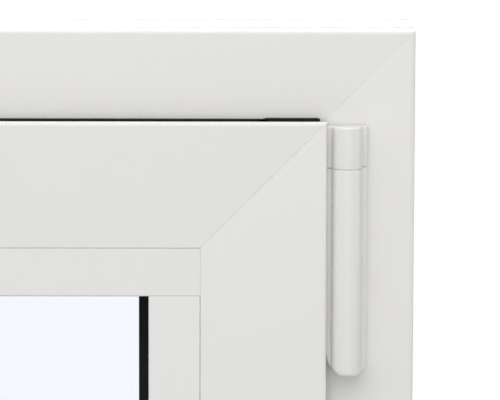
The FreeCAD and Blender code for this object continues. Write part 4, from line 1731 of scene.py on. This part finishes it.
@dataclass
class Studio:
    """Floor, lamps, background and camera.

    Attributes:
        lens: Focal length, in millimetres.
        sensor: Width of the camera's sensor, in millimetres.
        nearest: Nearest distance that the camera sees, in metres.
        camera_place: The camera's place, in metres.
        camera_turn: Its turn about X, Y and Z, in degrees.
        floor_radius: Where the floor starts to fade, in metres.
        floor_edge: Where it ends.
        floor_sides: Number of its sides.
        floor_colour: Colour of the floor.
        floor_variation: Share by which that drifts.
        floor_grain: Waves of the drift in a metre.
        floor_roughness: Its roughness.
        ambient: Strength of the light from all round.
        lamps: The lamps.
    """

    lens: float = 252.0
    sensor: float = 36.0
    nearest: float = 0.05
    camera_place: Axis = (0.30891, -1.53176, 1.11572)
    camera_turn: Axis = (82.7921, -0.1663, -0.7550)
    floor_radius: float = 1.2
    floor_edge: float = 2.6
    floor_sides: int = 96
    floor_colour: Colour = (0.80, 0.80, 0.79)
    floor_variation: float = 0.01
    floor_grain: float = 40.0
    floor_roughness: float = 0.9
    ambient: float = 0.1
    lamps: tuple[SoftBox, ...] = (
        SoftBox("upper_front", (0.3, -1.2, 1.9), (0.3, 0.0, 0.9), 1.2, 10.2),
        SoftBox("front", (0.3, -2.6, 1.2), (0.3, 0.0, 0.9), 2.0, 10.6),
        SoftBox("front_left", (-0.7, -1.0, 1.6), (0.3, 0.0, 0.9), 1.2, 4.8),
        SoftBox("front_right", (1.3, -1.0, 1.6), (0.3, 0.0, 0.9), 1.2, 1.7),
        SoftBox("left", (-2.0, -0.25, 1.1), (0.1, 0.0, 0.9), 1.4, 4.8),
        SoftBox("right", (2.4, -0.25, 1.1), (0.3, 0.0, 0.9), 1.4, 9.3),
        SoftBox("lower_front", (0.3, -1.0, 0.25), (0.3, 0.0, 0.95), 0.7, 1.25),
        SoftBox("upper", (0.3, -0.5, 2.3), (0.3, 0.0, 0.95), 1.0, 3.2),
        SoftBox("back", (0.2, 2.4, 1.1), (0.1, 0.0, 0.6), 2.0, 13.0),
        SoftBox("upper_back", (0.3, 0.7, 2.2), (0.3, 0.0, 1.0), 1.2, 23.9),
    )

    def build(self) -> None:
        """Set up everything that isn't part of the window."""
        self.floor()
        for lamp in self.lamps:
            lamp.hang()
        self.background()
        self.camera()
        bpy.context.scene.view_settings.view_transform = "Standard"

    def floor(self) -> None:
        """Lay a round pale floor whose edge fades into the background."""
        work = bmesh.new()
        bmesh.ops.create_circle(work, cap_ends=True, segments=self.floor_sides,
                                radius=self.floor_edge)
        floor = put("studio_floor", plain_mesh("studio_floor", work))
        sheet = FinishSheet("studio_floor")
        here = sheet.here()
        sheet.drift(sheet.noise(here, self.floor_grain, detail=4.0), self.floor_colour,
                    self.floor_variation)
        sheet.fix(Roughness=self.floor_roughness)
        reach = sheet.add("ShaderNodeVectorMath", {0: here}, operation="LENGTH")
        fade = sheet.add("ShaderNodeMapRange", {
            "Value": reach.outputs["Value"], "From Min": self.floor_radius,
            "From Max": self.floor_edge}, interpolation_type="SMOOTHSTEP")
        clear = sheet.add("ShaderNodeBsdfTransparent")
        mix = sheet.add("ShaderNodeMixShader", {
            0: fade.outputs[0], 1: sheet.shader.outputs[0], 2: clear.outputs[0]})
        sheet.feed(sheet.tree.nodes["Material Output"].inputs["Surface"], mix.outputs[0])
        floor.data.materials.append(sheet.material)

    def background(self) -> None:
        """Show white to the camera, in gloss and through glass, and softer light elsewhere."""
        world = bpy.data.worlds.new("studio")
        world.use_nodes = True
        bpy.context.scene.world = world
        sheet = NodeSheet(world.node_tree)
        light = world.node_tree.nodes["Background"]
        path = sheet.add("ShaderNodeLightPath")
        seen = sheet.math("MAXIMUM", path.outputs["Is Camera Ray"],
                          sheet.math("MAXIMUM", path.outputs["Is Glossy Ray"],
                                     path.outputs["Is Transmission Ray"]))
        strength = sheet.add("ShaderNodeMapRange", {
            "Value": seen, "To Min": self.ambient, "To Max": 1.0})
        light.inputs["Color"].default_value = (1.0, 1.0, 1.0, 1.0)
        sheet.feed(light.inputs["Strength"], strength.outputs[0])

    def camera(self) -> None:
        """Set the camera where the photograph was taken from."""
        data = bpy.data.cameras.new("camera")
        data.sensor_width = self.sensor
        data.lens = self.lens
        data.clip_start = self.nearest
        holder = put("camera", data)
        holder.location = self.camera_place
        holder.rotation_euler = Euler([math.radians(turn) for turn in self.camera_turn])
        bpy.context.scene.camera = holder


@dataclass(frozen=True)
class FinishBook:
    """The finish of each slot of the record.

    Attributes:
        white: Colour of the white plastic.
        black: Colour of the spacer between the panes.
        blue: Colour of the glazing blocks.
    """

    white: Colour = (0.775, 0.768, 0.752)
    black: Colour = (0.02, 0.02, 0.022)
    blue: Colour = (0.12, 0.2, 0.35)

    def finishes(self) -> tuple[Finish, ...]:
        """List the finishes.

        Returns:
            One for each slot.
        """
        return (
            ExtrudedPlastic(Slot.FRAME_PLASTIC, self.white),
            ExtrudedPlastic(Slot.SASH_PLASTIC, self.white),
            ExtrudedPlastic(Slot.BEAD_PLASTIC, self.white),
            SealRubber(Slot.SEAL_RUBBER),
            ClearGlass(Slot.CLEAR_GLASS),
            MouldedPlastic(Slot.SPACER_PLASTIC, self.black, variation=0.1,
                           roughness=(0.5, 0.6)),
            MouldedPlastic(Slot.BLOCK_PLASTIC, self.blue, variation=0.05),
            MouldedPlastic(Slot.COVER_PLASTIC, self.white),
            PlatedSteel(Slot.PIN_STEEL),
            PowderCoat(Slot.HANDLE_METAL),
        )

    def dress_nodes(self) -> dict[Slot, bpy.types.Material]:
        """Give every CAD node its slot's material.

        Returns:
            The material of each slot.
        """
        materials = {finish.slot: finish.material() for finish in self.finishes()}
        for subpart in frame["record"]["subparts"]:
            node = frame["nodes"][subpart["node"]]
            material = materials[Slot(subpart["material_slot"])]
            if not node.material_slots:
                node.data.materials.append(material)
            for place in node.material_slots:
                place.material = material
        return materials


def main() -> None:
    """Dress the window, piece by piece, and set up the studio."""
    logging.basicConfig(level=logging.INFO, format="%(message)s")
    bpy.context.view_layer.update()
    sizes = WindowSizes.from_frame()
    materials = FinishBook().dress_nodes()
    sweep = SectionSweep()
    for kind in (OuterFrame, Sash, SashSeal, Glazing, HingeCovers, Handle):
        kind(sizes, sweep, materials).build()
    Studio().build()


if __name__ == "__main__":
    main()
